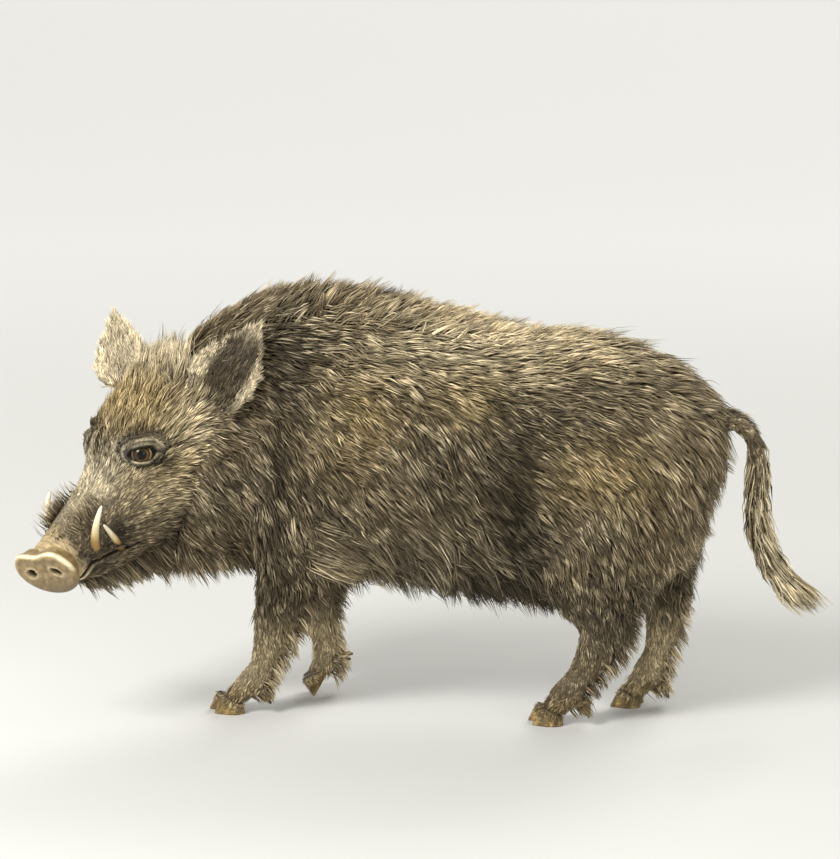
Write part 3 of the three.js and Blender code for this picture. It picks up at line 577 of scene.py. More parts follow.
def refined(mesh, chosen):
    # splits the faces between the chosen points
    made = bmesh.new()
    made.from_mesh(mesh)
    edges = [e for e in made.edges if chosen[e.verts[0].index] and chosen[e.verts[1].index]]
    bmesh.ops.subdivide_edges(made, edges=edges, cuts=1, use_grid_fill=True)
    made.to_mesh(mesh)
    made.free()


def setPoints(mesh, points):
    mesh.vertices.foreach_set("co", (points / 1000).ravel())
    mesh.update()


setPoints(skinMesh, smoothed(pointsOf(skinMesh), edgesOf(skinMesh), skinForm["smoothing"]))

face = dict(
    eye=(193, 77, -14),
    eyeSize=20.6,
    eyeFaces=(0.16, 0.93, 0.32),
    eyeTilt=48,  # degrees that the eye's long axis rises towards the snout
    socket=15,
    mouthDepth=9,
    mouthHeight=4.5,
    lip=4,
)
mouthLine = [(470, -76), (440, -72), (412, -66), (386, -80), (362, -102), (338, -124), (314, -142)]


def mouthDistance(head):
    # how far each point of the head is above (+) or below (-) the line of the mouth, and how far off it
    line = np.array(mouthLine, float)
    best = np.full(len(head), 1e9)
    above = np.zeros(len(head))
    flat = head[:, [0, 2]]
    for start, end in zip(line[:-1], line[1:]):
        way = end - start
        share = clamp01((flat - start) @ way / (way @ way))
        off = flat - (start + share[:, None] * way)
        far = np.linalg.norm(off, axis=1)
        near = far < best
        best = np.where(near, far, best)
        above = np.where(near, np.sign(off[:, 1]) * far, above)
    return above, best


def eyeFrame(side):
    # the eye's own axes: along the lids, across them, and out of the head
    out = unit(np.array(face["eyeFaces"]) * (1, side, 1))
    tilt = math.radians(face["eyeTilt"])
    along = np.array([math.cos(tilt), 0, math.sin(tilt)])
    along = unit(along - out * (along @ out))
    return axesAt(along, np.cross(out, along) * -side, out, np.array(face["eye"]) * (1, side, 1))


def inEyeAxes(head):
    # each point of the head in the axes of the nearer eye
    sides = np.where(head[:, 1] > 0, 1, -1)
    local = np.zeros_like(head)
    for side in (-1, 1):
        mine = sides == side
        local[mine] = movedBack(head[mine], eyeFrame(side))
    return local


# The skin gets smaller faces round the eyes and mouth and from each x in snout to the snout's end, the
# second time closer in. Then it is smoothed where smoothFrom rises.
fineForm = dict(eye=48, mouth=26, mouthSide=15, snout=(130, 380), snoutEnd=480, side=130, low=-270,
                smoothFrom=(110, 150), smoothSide=140)
for number, snoutFrom in enumerate(fineForm["snout"], 1):
    head = moved(pointsOf(skinMesh), headBack)
    off = mouthDistance(head)[1]
    nearEye = np.linalg.norm(inEyeAxes(head), axis=1) < fineForm["eye"] / number ** 0.4
    nearMouth = (off < fineForm["mouth"] / number) & (np.abs(head[:, 1]) > fineForm["mouthSide"])
    onSnout = (head[:, 0] > snoutFrom) & (head[:, 0] < fineForm["snoutEnd"])
    inside = (np.abs(head[:, 1]) < fineForm["side"]) & (head[:, 2] > fineForm["low"])
    refined(skinMesh, (onSnout | nearEye | nearMouth) & inside)

points = pointsOf(skinMesh)
head = moved(points, headBack)
fine = softStep(*fineForm["smoothFrom"], head[:, 0]) * (np.abs(head[:, 1]) < fineForm["smoothSide"])
points = mix(points, smoothed(points, edgesOf(skinMesh), 3), fine[:, None])
setPoints(skinMesh, points)
print("skin refined on the face:", len(skinMesh.vertices), "points")


# The folds of the face: how high they are and where. The rays leave the eye's inner corner, the bag lies
# under the eye, and the wrinkles cross the muzzle behind the disc.
folds = dict(socketEdge=(20, 36), ray=1.8, rayAlong=44, bag=2.2, bagRadius=35, wrinkle=3, wrinkleSize=0.2)


def wrinkleWave(head):
    return np.sin(head[:, 0] * folds["wrinkleSize"] + 0.5 * waves(head, 60, 3))


def faceFolds(head):
    # how far each point of the head moves, in the head's own axes
    side = np.sign(head[:, 1])
    outOfHead = unit(np.column_stack([np.zeros(len(head)), head[:, 1], head[:, 2] + 70]))
    along, across, high = inEyeAxes(head).T
    shift = np.zeros_like(head)

    # the socket that the eyeball and lids sit in
    far = np.hypot(along / 1.25, across)
    deep = face["socket"] * (1 - softStep(*folds["socketEdge"], far)) * (high > -30)
    for mine, sign in ((side > 0, 1), (side <= 0, -1)):
        shift[mine] -= deep[mine, None] * eyeFrame(sign)[:3, 2]

    ray = hill(along, folds["rayAlong"], 22) * hill(across, 0, 20)
    bag = hill(np.hypot(along / 1.3, across), folds["bagRadius"], 5) * (across < 4)
    fold = folds["ray"] * ray * np.sin(across * 0.62 + along * 0.1) + folds["bag"] * bag
    band = softStep(396, 418, head[:, 0]) * softStep(-60, -20, head[:, 2])
    fold += folds["wrinkle"] * band * -hill(wrinkleWave(head), 0, 0.35)
    shift += outOfHead * fold[:, None]

    # the mouth, between two soft lips
    above, off = mouthDistance(head)
    edge = softStep(22, 34, np.abs(head[:, 1])) * softStep(306, 326, head[:, 0])
    groove = hill(off, 0, face["mouthHeight"])
    lips = hill(above, 11, 6) + 0.7 * hill(above, -10, 6)
    shift[:, 1] -= side * edge * (face["mouthDepth"] * groove - face["lip"] * lips)
    return shift


points = moved(head + faceFolds(moved(points, headBack)), headFrame)
setPoints(skinMesh, points)


# The coat's fields: for every point of the skin, how its hair lies, how long it is and its colour.


def tone(code):
    # a hex colour as linear values
    parts = np.array([int(code[i:i + 2], 16) for i in (0, 2, 4)]) / 255
    return np.where(parts > 0.04045, ((parts + 0.055) / 1.055) ** 2.4, parts / 12.92)


coatTones = dict(
    brown=tone("7e6e53"),
    grey=tone("867a63"),
    dark=tone("3a3322"),
    black=tone("1f1a10"),
    ochre=tone("c2a870"),
    pale=tone("ccb992"),
    cream=tone("efdfbc"),
    tan=tone("b99d68"),
    leather=tone("8f7648"),
)
# marks on the flanks: x and z of the middle, how far they reach, and how strong they are
flankMarks = tableRows(
    "x z across up tone strength",
    ("behind the ear", -256, 725, 62, 90, "black", 0.8),
    ("edge of the neck", -268, 520, 28, 170, "dark", 0.75),
    ("in front of the thigh", 186, 455, 62, 175, "black", 0.92),
    ("above the thigh", 150, 660, 50, 60, "dark", 0.45),
    ("ribs", 70, 470, 100, 130, "dark", 0.45),
    ("shoulder", -118, 625, 75, 85, "ochre", 0.5),
    ("flank", 80, 655, 62, 44, "ochre", 0.55),
    ("haunch", 352, 520, 115, 62, "ochre", 0.55),
    # the pale loin and back: the coat's paler hair with painted highlight along the top
    ("loin", 290, 735, 170, 54, "pale", 1.0),
    ("back", 70, 755, 180, 68, "pale", 1.0),
    ("sheen of the back", 110, 745, 210, 36, "cream", 0.4),
    ("back of the hind leg", 400, 250, 44, 100, "dark", 0.6),
    ("mane", -260, 830, 150, 50, "pale", 0.35),
    ("rump", 490, 610, 90, 70, "pale", 0.35),
    ("lower ribs", -40, 380, 140, 60, "grey", 0.4),
    # the dark belly and chest: darker hair with painted shade underneath
    ("belly", 60, 280, 260, 60, "black", 0.7),
    ("chest", -300, 300, 90, 80, "dark", 0.75),
    ("thigh", 330, 380, 90, 90, "grey", 0.3),
)
# marks on the head, in its own axes: x from poll to snout, y out to each side, z up
headMarks = tableRows(
    "at reach tone strength",
    ("forehead", (118, 40, 16), (70, 80, 40), "ochre", 0.8),
    ("temple", (78, 110, -40), (50, 40, 40), "pale", 0.75),
    ("behind the eye", (128, 115, -74), (72, 60, 48), "ochre", 1.0),
    ("rear of the cheek", (112, 115, -66), (66, 60, 42), "cream", 0.8),
    ("under the eye", (196, 96, -62), (34, 40, 24), "ochre", 0.6),
    ("poll", (14, 30, 0), (44, 90, 50), "cream", 0.7),
    ("bridge", (290, 20, 4), (66, 50, 40), "cream", 0.92),
    ("cheek", (225, 85, -95), (80, 50, 66), "pale", 0.95),
    # painted shade in the crease above the lids and at the eye's inner corner
    ("above the eye", (196, 70, 23), (40, 26, 11), "black", 0.85),
    ("inner corner", (240, 70, 8), (16, 26, 16), "dark", 0.6),
    ("side of the muzzle", (360, 60, -30), (40, 40, 40), "brown", 0.6),
    # behind the disc and tusks: dark hair with painted shade in the mouth's recess
    ("behind the disc", (418, 60, -62), (30, 34, 40), "black", 0.9),
    ("behind the tusks", (346, 66, -80), (44, 40, 32), "black", 0.9),
    ("jaw", (300, 50, -180), (120, 90, 30), "dark", 0.4),
    ("jowl", (90, 100, -215), (90, 90, 60), "dark", 0.5),
    # the throat: darker hair with painted shade underneath
    ("throat", (40, 0, -250), (120, 120, 50), "black", 0.6),
    ("below the ear", (20, 130, -100), (50, 60, 40), "dark", 0.7),
)


def paint(colours, toneName, share):
    return mix(colours, coatTones[toneName], share[:, None])


normals = normalsOf(skinMesh)
edges = edgesOf(skinMesh)
points = pointsOf(skinMesh)
head = moved(points, headBack)

# which form of the body each point belongs to, and its place round and along it
samples = []
for number, chart in enumerate(charts.values()):
    angles, along = ringPlaces(chart["sides"], chart["steps"])
    made = chart["place"](angles, along, np.ones(len(along)))
    samples.append(np.column_stack([made, np.full(len(made), number), along, angles / 2 / math.pi]))
samples = np.vstack(samples)
samplesTree = KDTree(len(samples))
for i, row in enumerate(samples):
    samplesTree.insert(row[:3], i)
samplesTree.balance()


def unwrapPlace(points):
    # for each point: the nearest form, and the place along and round it
    nearest = samples[[samplesTree.find(p)[1] for p in points]]
    return nearest[:, 3].astype(int), nearest[:, 4:6]


chartOf, unwrapped = unwrapPlace(points)
parts = smoothed(np.eye(len(charts))[chartOf], edges, 14)
share = {name: parts[:, i] for i, name in enumerate(charts)}
legShare = sum(share[name] for name in charts if name.startswith("leg_"))
trunkLine = {name: trunkAt(np.linspace(1, 0, 80))[name] for name in ("x", "y", "top", "low")}


def trunkCoat(points):
    # hair runs back along the spine and falls down the flanks, more steeply towards the rump
    x, _, z = points.T
    top = np.interp(x, trunkLine["x"], trunkLine["top"])
    low = np.interp(x, trunkLine["x"], trunkLine["low"])
    depth = clamp01((top - z) / (top - low))
    fall = mix(4, 42, softStep(0, 0.4, depth)) + 18 * softStep(380, 560, x) * softStep(0, 0.3, depth)
    fall += 16 * softStep(-120, -240, x) * softStep(0.1, 0.5, depth) - 22 * softStep(0.8, 1, depth)
    fall -= 22 * softStep(-290, -400, x) * softStep(0.1, 0.4, depth)
    fall = np.radians(fall + 7 * waves(points, 220, 5))
    lie = np.column_stack([np.cos(fall), 0.28 * softStep(-230, -330, x), -np.sin(fall)])
    length = mix(52, 43, softStep(0, 0.35, depth)) + 12 * softStep(0.82, 1, depth)
    length -= 9 * softStep(-300, -420, x) * softStep(0.1, 0.3, depth)
    return lie, length, 0.076 * length, mix(19, 15, softStep(0, 0.3, depth)) + 12 * softStep(0.8, 1, depth)


def headCoat(head):
    # hair runs back from the snout, up the forehead and down the cheeks
    x, y, z = head.T
    side = np.sign(y)
    low = softStep(-40, -190, z)
    rise = -0.2 * softStep(-20, -80, z) - 0.4 * softStep(0, -70, z) * softStep(290, 170, x) - 0.6 * low
    lie = np.column_stack([-np.ones(len(x)), 0.12 * side * (1 - low), rise])
    eyeLocal = inEyeAxes(head)
    away = np.hypot(eyeLocal[:, 0], eyeLocal[:, 1])
    ray = np.zeros_like(head)
    for sign in (-1, 1):
        mine = np.where(y > 0, 1, -1) == sign
        axes = eyeFrame(sign)
        ray[mine] = eyeLocal[mine, :1] * axes[:3, 0] + eyeLocal[mine, 1:2] * axes[:3, 1]
    lie += unit(ray) * (0.9 * np.exp(-(away / 34) ** 2))[:, None]
    lie = lie @ headFrame[:3, :3].T
    length = mix(36, 18, softStep(60, 300, x)) - 8 * softStep(260, 360, x)
    length += 12 * softStep(60, -10, x) + (10 + 6 * softStep(330, 120, x)) * low
    length -= 6 * np.exp(-(away / 36) ** 4)
    return lie, length, 0.05 * length + 1.25, mix(17, 11, softStep(150, 330, x)) + 9 * low


def behindLeg(points, rows):
    # how far each point is behind the leg's middle line, as a share of half the leg's depth
    heights, middles, depths = np.array([[row["z"], row["x"], row["fore"]] for row in rows[::-1]], float).T
    x, _, z = points.T
    return (x - np.interp(z, heights, middles)) / np.interp(z, heights, depths)


def legCoat(points, rows):
    # hair runs down, a little back above the knee or hock
    z = points[:, 2]
    behind = softStep(0.3, 1, behindLeg(points, rows))
    lie = np.column_stack([mix(0.12, 0.42, softStep(150, 420, z)), np.zeros(len(z)), -np.ones(len(z))])
    length = mix(11, 26, softStep(60, 270, z)) + 14 * softStep(240, 460, z)
    length += 10 * behind * softStep(60, 170, z)
    return lie, length, 0.06 * length + 1.45, mix(10, 15, softStep(60, 250, z)) + 8 * behind


def earCoat(points, ear):
    # hair runs up the ear and out towards its rim
    made = earFrame(ear)[0]
    local = movedBack(points, made)
    lie = np.column_stack([local[:, 0] / 60, np.zeros(len(points)), np.ones(len(points))]) @ made[:3, :3].T
    return lie, 15 + 4 * waves(points, 30, 8) ** 2, np.full(len(points), 1.9), np.full(len(points), 13.0)


def tailCoat(points):
    line = curvePoint(np.linspace(0, 1, 120))
    ways = np.gradient(line, axis=0)
    closest = np.argmin(((points[:, None, ::2] - line[None, :, ::2]) ** 2).sum(2), axis=1)
    length = mix(44, 34, closest / 120)
    return ways[closest], length, 0.07 * length, np.full(len(points), 12.0)


fields = np.zeros((len(points), 6))
for name in charts:
    if name == "trunk":
        made = trunkCoat(points)
    elif name == "head":
        made = headCoat(head)
    elif name == "tail":
        made = [np.zeros((len(points), 3))] + [np.zeros(len(points))] * 3
        near = share["tail"] > 0.001
        for whole, part in zip(made, tailCoat(points[near])):
            whole[near] = part
    elif name.startswith("leg_"):
        made = legCoat(points, legRows[name[4:]])
    else:
        made = earCoat(points, ears[name[4:]])
    fields += np.column_stack([unit(made[0]), *made[1:]]) * share[name][:, None]
fields[:, :3] = smoothed(fields[:, :3], edges, 6)
lie = fields[:, :3] - normals * (fields[:, :3] * normals).sum(1)[:, None]
lie = unit(lie)


def coatColour(points, head, normals):
    x, y, z = points.T
    colours = np.tile(coatTones["brown"], (len(points), 1))
    colours = paint(colours, "grey", 0.5 * softStep(-0.6, 1.2, waves(points, 160, 21)))
    body = clamp01(1 - share["head"] - share["ear_left"] - share["ear_right"])
    for mark in flankMarks:
        far = ((x - mark["x"]) / mark["across"]) ** 2 + ((z - mark["z"]) / mark["up"]) ** 2
        colours = paint(colours, mark["tone"], np.exp(-far) * body * mark["strength"])
    for mark in headMarks:
        off = (np.column_stack([head[:, 0], np.abs(head[:, 1]), head[:, 2]]) - mark["at"]) / mark["reach"]
        colours = paint(colours, mark["tone"], np.exp(-(off ** 2).sum(1)) * share["head"] * mark["strength"])
    # painted shade: a dark crease that runs back from the eye's rear corner, and a patch under that corner
    along, across, high = inEyeAxes(head).T
    fold = hill(across + 2 + 0.08 * along, 0, 3.4) * softStep(-24, -34, along) * softStep(-84, -62, along)
    under = ((along + 30) / 14) ** 2 + ((across + 22 - 0.5 * (along + 30)) / 8) ** 2
    fold = np.maximum(fold, 0.8 * np.exp(-under))
    colours = paint(colours, "black", 0.9 * fold * (high > -30) * share["head"])
    # the legs: painted shade on the inside, where they face one another, painted highlight on the outside low
    # down, most of all on the far ones, and tan at the feet
    inner = legShare * softStep(0.1, 0.7, -normals[:, 1] * np.sign(y)) * softStep(420, 300, z)
    colours = paint(colours, "dark", 0.55 * inner)
    pale = mix(np.where(y < 0, 0.6, 0.95), 0.06, softStep(-50, 150, x) * (y < 0))
    colours = paint(colours, "pale", pale * legShare * softStep(260, 130, z))
    colours = paint(colours, "leather", 0.5 * legShare * softStep(80, 40, z))
    streaky = softStep(-0.3, 0.6, waves(points * (1, 1, 0.3), 60, 23))
    colours = paint(colours, "pale", 0.75 * share["tail"] * streaky)
    for name, ear in ears.items():
        made, length = earFrame(ear)
        local = movedBack(points, made)
        mine = share["ear_" + name]
        colours = paint(colours, "cream", mine * ear["pale"])
        # the inside of the cup: darker hair with painted shade, as deep as each ear's deep says
        inside = softStep(-0.1, 0.4, normals @ made[:3, 1])
        inside *= softStep(0.8, 0.42, np.abs(local[:, 0]) / ear["width"] * 2)
        inside *= softStep(length * 0.9, length * 0.6, local[:, 2])
        warmDark = coatTones["dark"] * (1.0, 0.68, 0.28)
        colours = mix(colours, warmDark, (mine * inside * ear["deep"])[:, None])
    return colours


def bareness(head):
    # 1 where the muzzle's tip and lips are bare skin
    off = mouthDistance(head)[1]
    tip = softStep(374, 422, head[:, 0] + 0.5 * np.minimum(head[:, 2], 0) + 7 * waves(head, 40, 31))
    lips = softStep(9, 4, off) * softStep(20, 32, np.abs(head[:, 1])) * softStep(306, 330, head[:, 0])
    return clamp01(tip * (head[:, 0] < 480) + lips)


bare = bareness(head) * (share["head"] > 0.5)
coatTone = coatColour(points, head, normals)


# Materials. Markings, and the painted shade and highlight among them, come from each mesh's own "tone"
# colours, finer grain from the nodes. Grain is the scale of the noise, which shades the colour from dark
# to light, and polish is a clear layer's weight and roughness.
looks = {
    "bristles": dict(roughness=0.58, specular=0.24, grain=55, dark=0.82, light=1.2),
    "skin": dict(roughness=0.6, specular=0.35, grain=120, dark=0.75, light=1.2),
    "snout pad": dict(roughness=0.42, specular=0.45, grain=90, dark=0.8, light=1.12, polish=(0.12, 0.35)),
    "tusk ivory": dict(roughness=0.3, specular=0.5, grain=160, detail=2.0, stretch=(1, 1, 0.2),
                       dark=0.86, light=1.06),
    "hoof horn": dict(roughness=0.5, specular=0.4, grain=70, stretch=(1, 1, 0.35), dark=0.72, light=1.15),
    "eye": dict(roughness=0.12, specular=0.12, grain=500, detail=2.0, dark=0.75, light=1.2,
                polish=(0.22, 0.03)),
    "pale floor": dict(roughness=0.8, specular=0.2),
}
# colours from one end to the other: up a tusk, and out from the middle of the eye
ivoryStops = [(0.0, "7a5c30"), (0.4, "a9854c"), (0.56, "dcc797"), (0.75, "efe2bd"), (1.0, "f4ead0")]
eyeStops = [
    (0.0, "060504"), (0.115, "060504"), (0.135, "3a2a18"), (0.19, "6e5634"), (0.25, "4f3b22"),
    (0.285, "140e08"), (0.3, "c2ab82"), (0.4, "b39a72"), (1.0, "7a6244"),
]
materials = {}


def newMaterial(name):
    look = looks[name]
    material = bpy.data.materials.new(name)
    material.use_nodes = True
    inputs = material.node_tree.nodes["Principled BSDF"].inputs
    inputs["Roughness"].default_value = look["roughness"]
    inputs["Specular IOR Level"].default_value = look["specular"]
    if "polish" in look:
        inputs["Coat Weight"].default_value, inputs["Coat Roughness"].default_value = look["polish"]
    materials[name] = material


def setInput(name, socket, value):
    # links a value to the shader of the material with that name
    tree = materials[name].node_tree
    tree.links.new(value, tree.nodes["Principled BSDF"].inputs[socket])


def addNode(name, kind, inputs=None, **settings):
    tree = materials[name].node_tree
    node = tree.nodes.new("ShaderNode" + kind)
    for setting, value in settings.items():
        setattr(node, setting, value)
    for socket, value in (inputs or {}).items():
        if isinstance(value, bpy.types.NodeSocket):
            tree.links.new(value, node.inputs[socket])
        else:
            node.inputs[socket].default_value = value
    return node


def placeOn(name):
    return addNode(name, "TexCoord").outputs["Object"]


def attributeOf(name, attribute, output):
    return addNode(name, "Attribute", attribute_name=attribute).outputs[output]


def grain(name, scale, detail=3.0, stretch=(1, 1, 1)):
    sized = addNode(name, "Mapping", {"Vector": placeOn(name), "Scale": stretch})
    noise = addNode(name, "TexNoise", {"Vector": sized.outputs[0], "Scale": scale, "Detail": detail})
    return noise.outputs[0]


def ramp(name, value, stops):
    node = addNode(name, "ValToRGB", {"Fac": value})
    bar = node.color_ramp.elements
    bar[0].position, bar[1].position = stops[0][0], stops[-1][0]
    for place, _ in stops[1:-1]:
        bar.new(place)
    for stop, (place, colour) in zip(bar, stops):
        stop.color = (*tone(colour), 1)
    return node.outputs["Color"]


def tinted(name, colour):
    # the colour, darkened and lightened by the material's grain
    look = looks[name]
    noise = grain(name, look["grain"], look.get("detail", 3.0), look.get("stretch", (1, 1, 1)))
    shade = addNode(name, "MapRange", {"Value": noise, "From Min": 0.3, "From Max": 0.7,
                                       "To Min": look["dark"], "To Max": look["light"]})
    scaled = addNode(name, "VectorMath", {0: colour, "Scale": shade.outputs[0]}, operation="SCALE")
    setInput(name, "Base Color", scaled.outputs[0])


def bump(name, height, distance, strength):
    made = addNode(name, "Bump", {"Height": height, "Distance": distance, "Strength": strength})
    setInput(name, "Normal", made.outputs[0])


for name in looks:
    newMaterial(name)
for name in ("bristles", "skin", "snout pad", "hoof horn"):
    tinted(name, attributeOf(name, "tone", "Color"))
bump("skin", grain("skin", 380, 4.0), 0.0012, 0.7)
pores = addNode("snout pad", "TexVoronoi", {"Vector": placeOn("snout pad"), "Scale": 330.0},
                feature="SMOOTH_F1")
bump("snout pad", pores.outputs["Distance"], 0.0012, 0.5)
tinted("tusk ivory", ramp("tusk ivory", attributeOf("tusk ivory", "along", "Fac"), ivoryStops))
bump("tusk ivory", grain("tusk ivory", 240, 2.0, (1, 1, 0.15)), 0.0006, 0.5)
rings = addNode("hoof horn", "TexWave", {"Vector": placeOn("hoof horn"), "Scale": 60.0, "Distortion": 1.2,
                                         "Detail": 2.0}, bands_direction="Z")
bump("hoof horn", rings.outputs["Fac"], 0.0005, 0.5)
eyeColour = ramp("eye", attributeOf("eye", "along", "Fac"), eyeStops)
shaded = addNode("eye", "VectorMath", {0: eyeColour, 1: attributeOf("eye", "tone", "Color")},
                 operation="MULTIPLY")
tinted("eye", shaded.outputs[0])
print("materials ready:", ", ".join(looks))


def setColours(mesh, colours):
    made = mesh.color_attributes.new("tone", "FLOAT_COLOR", "POINT")
    made.data.foreach_set("color", np.column_stack([colours, np.ones(len(colours))]).ravel())


def setShares(mesh, values):
    made = mesh.attributes.new("along", "FLOAT", "POINT")
    made.data.foreach_set("value", np.asarray(values, float))


# the skin as a piece, with the coat's markings in darker tones, partly painted shade between the tufts,
# and bare tan at the muzzle's tip
skinTone = coatTone * 0.42
muzzle = mix(coatTones["tan"], coatTones["leather"], clamp01(0.5 + 0.4 * waves(head, 24, 33))[:, None])
# painted shade in the grooves of the muzzle's wrinkles
creases = softStep(0, 0.5, np.abs(wrinkleWave(head)))
muzzle = mix(muzzle, coatTones["pale"], 0.5) * mix(0.66, 0.95, creases)[:, None]
off = mouthDistance(head)[1]
muzzle = paint(muzzle, "cream", 0.7 * hill(off, 6, 3))
skinTone = mix(skinTone, muzzle, bare[:, None])
# painted shade in the groove of the mouth
inMouth = softStep(20, 30, np.abs(head[:, 1])) * (head[:, 0] > 306)
skinTone = paint(skinTone, "black", softStep(7, 3, off) * (share["head"] > 0.5) * inMouth)
skinMesh.name = "skin"
skin = newObject("skin", skinMesh)
setPoints(skinMesh, inFrame(points) * 1000)
skinMesh.polygons.foreach_set("use_smooth", [True] * len(skinMesh.polygons))
skinMesh.materials.clear()
skinMesh.materials.append(materials["skin"])
setColours(skinMesh, skinTone)
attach(skin, "root")
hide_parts("head", "lower_jaw", "neck", "torso", "leg_front_left", "leg_front_right",
            "leg_hind_left", "leg_hind_right", "tail_dock", "tail_tuft", "ear_left", "ear_right")
print("skin in place:", len(skinMesh.polygons), "faces")


# The face's hard and bare parts, in the head's own axes.

def tubePiece(name, sides, steps, place, material, stands, toneAt=None):
    # a closed tube that stands for a node of the frame. Returns its mesh and each point's place along it.
    points, faces = tubeGrid(sides, steps, place)
    piece = newPiece(name, points, faces, material)
    along = np.append(ringPlaces(sides, steps)[1], [0, 1])
    setShares(piece.data, along)
    if toneAt:
        setColours(piece.data, toneAt(points, along))
    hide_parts(stands)
    return piece.data, along


eyeForm = dict(gazeAhead=10, gazeUp=-2, bulge=0.035)
# half, rise and drop: the opening's half length, and its height above and below; reach: how far the lids
# run over the skin; thick: how far they stand out; crease: how deep their folds are; rings: where each
# ring lies between the opening and the lids' outer edge
lidForm = dict(half=28, rise=12, drop=13, reachUp=34, reachDown=18, reachRear=14, thick=3, crease=3.2,
               around=120, rings=(0, 0.03, 0.07, 0.12, 0.18, 0.25, 0.32, 0.38, 0.44, 0.5, 0.56, 0.62,
                                  0.68, 0.76, 0.84, 0.92, 1))
lids = []


def eyeballPlace(side):
    # rings round the line of sight, so that pupil and iris are round
    ahead, up = math.radians(eyeForm["gazeAhead"]), math.radians(eyeForm["gazeUp"])
    gaze = unit(np.array([math.sin(ahead), math.sin(up), math.cos(ahead)]))
    right = unit(np.cross(gaze, np.array([0.0, 1.0, 0.0])))
    axes = np.column_stack([right, np.cross(gaze, right), gaze])

    def place(angle, along, out):
        polar = 0.01 + along * (math.pi - 0.02)
        size = face["eyeSize"] * (1 + eyeForm["bulge"] * hill(polar, 0, 0.5))
        local = np.column_stack([np.sin(polar) * np.cos(angle) * out, np.sin(polar) * np.sin(angle) * out,
                                 np.cos(polar)]) * size[:, None]
        return moved(moved(local @ axes.T, eyeFrame(side)), headFrame)
    return place


def eyeShade(points, along):
    # darker under the upper lid and at the inner corner
    local = inEyeAxes(moved(points, headBack))
    shade = mix(1, 0.3, softStep(2, 11, local[:, 1])) * mix(1, 0.3, softStep(7, 15, local[:, 0]))
    return np.tile(shade[:, None], (1, 3))


def lidColours(made, base, turns, part, crease):
    # one ring of the lids: pale streaks above, a pale rim below, the dark lid edge, and painted shade in the
    # creases, at the corners and under the lower lid
    ahead, across = np.cos(turns), np.sin(turns)
    upper = softStep(-0.35, 0.35, across)
    rear = softStep(0.4, -0.9, ahead)
    innerCorner = softStep(0.5, 0.85, ahead)
    streaks = hill(part, 0.2, 0.05) + 0.85 * hill(part, 0.41, 0.06)
    streaks = streaks * softStep(0.15, 0.6, across) * mix(0.6, 1, rear) * softStep(0.75, 0.2, ahead)
    rim = hill(part, 0.17, 0.1) * (1 - upper) * mix(1, 0.5, rear)
    inner = (hill(part, 0.4, 0.07) + hill(part, 0.8, 0.06)) * innerCorner
    light = clamp01(streaks + rim * (1 - innerCorner) + 0.8 * inner)
    light = light * mix(0.3, 1, clamp01(0.55 + 0.8 * waves(made, 6, 73)))
    colour = mix(base * 0.26, coatTones["cream"] * 0.8, light[:, None])

    # the dark lid edge, and painted shade in the creases, at both corners and under the lower lid
    dark = [
        np.maximum(crease, hill(part, 0, mix(0.1, 0.2, upper))) * mix(0.7, 1.08, upper),
        softStep(0, -0.5, ahead) * softStep(0, -0.5, across) * softStep(0.25, 0.45, part),
        hill(turns - math.pi, -0.1, 0.28) * softStep(0.9, 0.5, part),
        (hill(part, 0.2, 0.1) + hill(part, 0.6, 0.08)) * innerCorner,
        0.75 * hill(part, 0.46, 0.13) * (1 - upper),
    ]
    return paint(colour, "black", np.max(dark, axis=0) * 0.92)


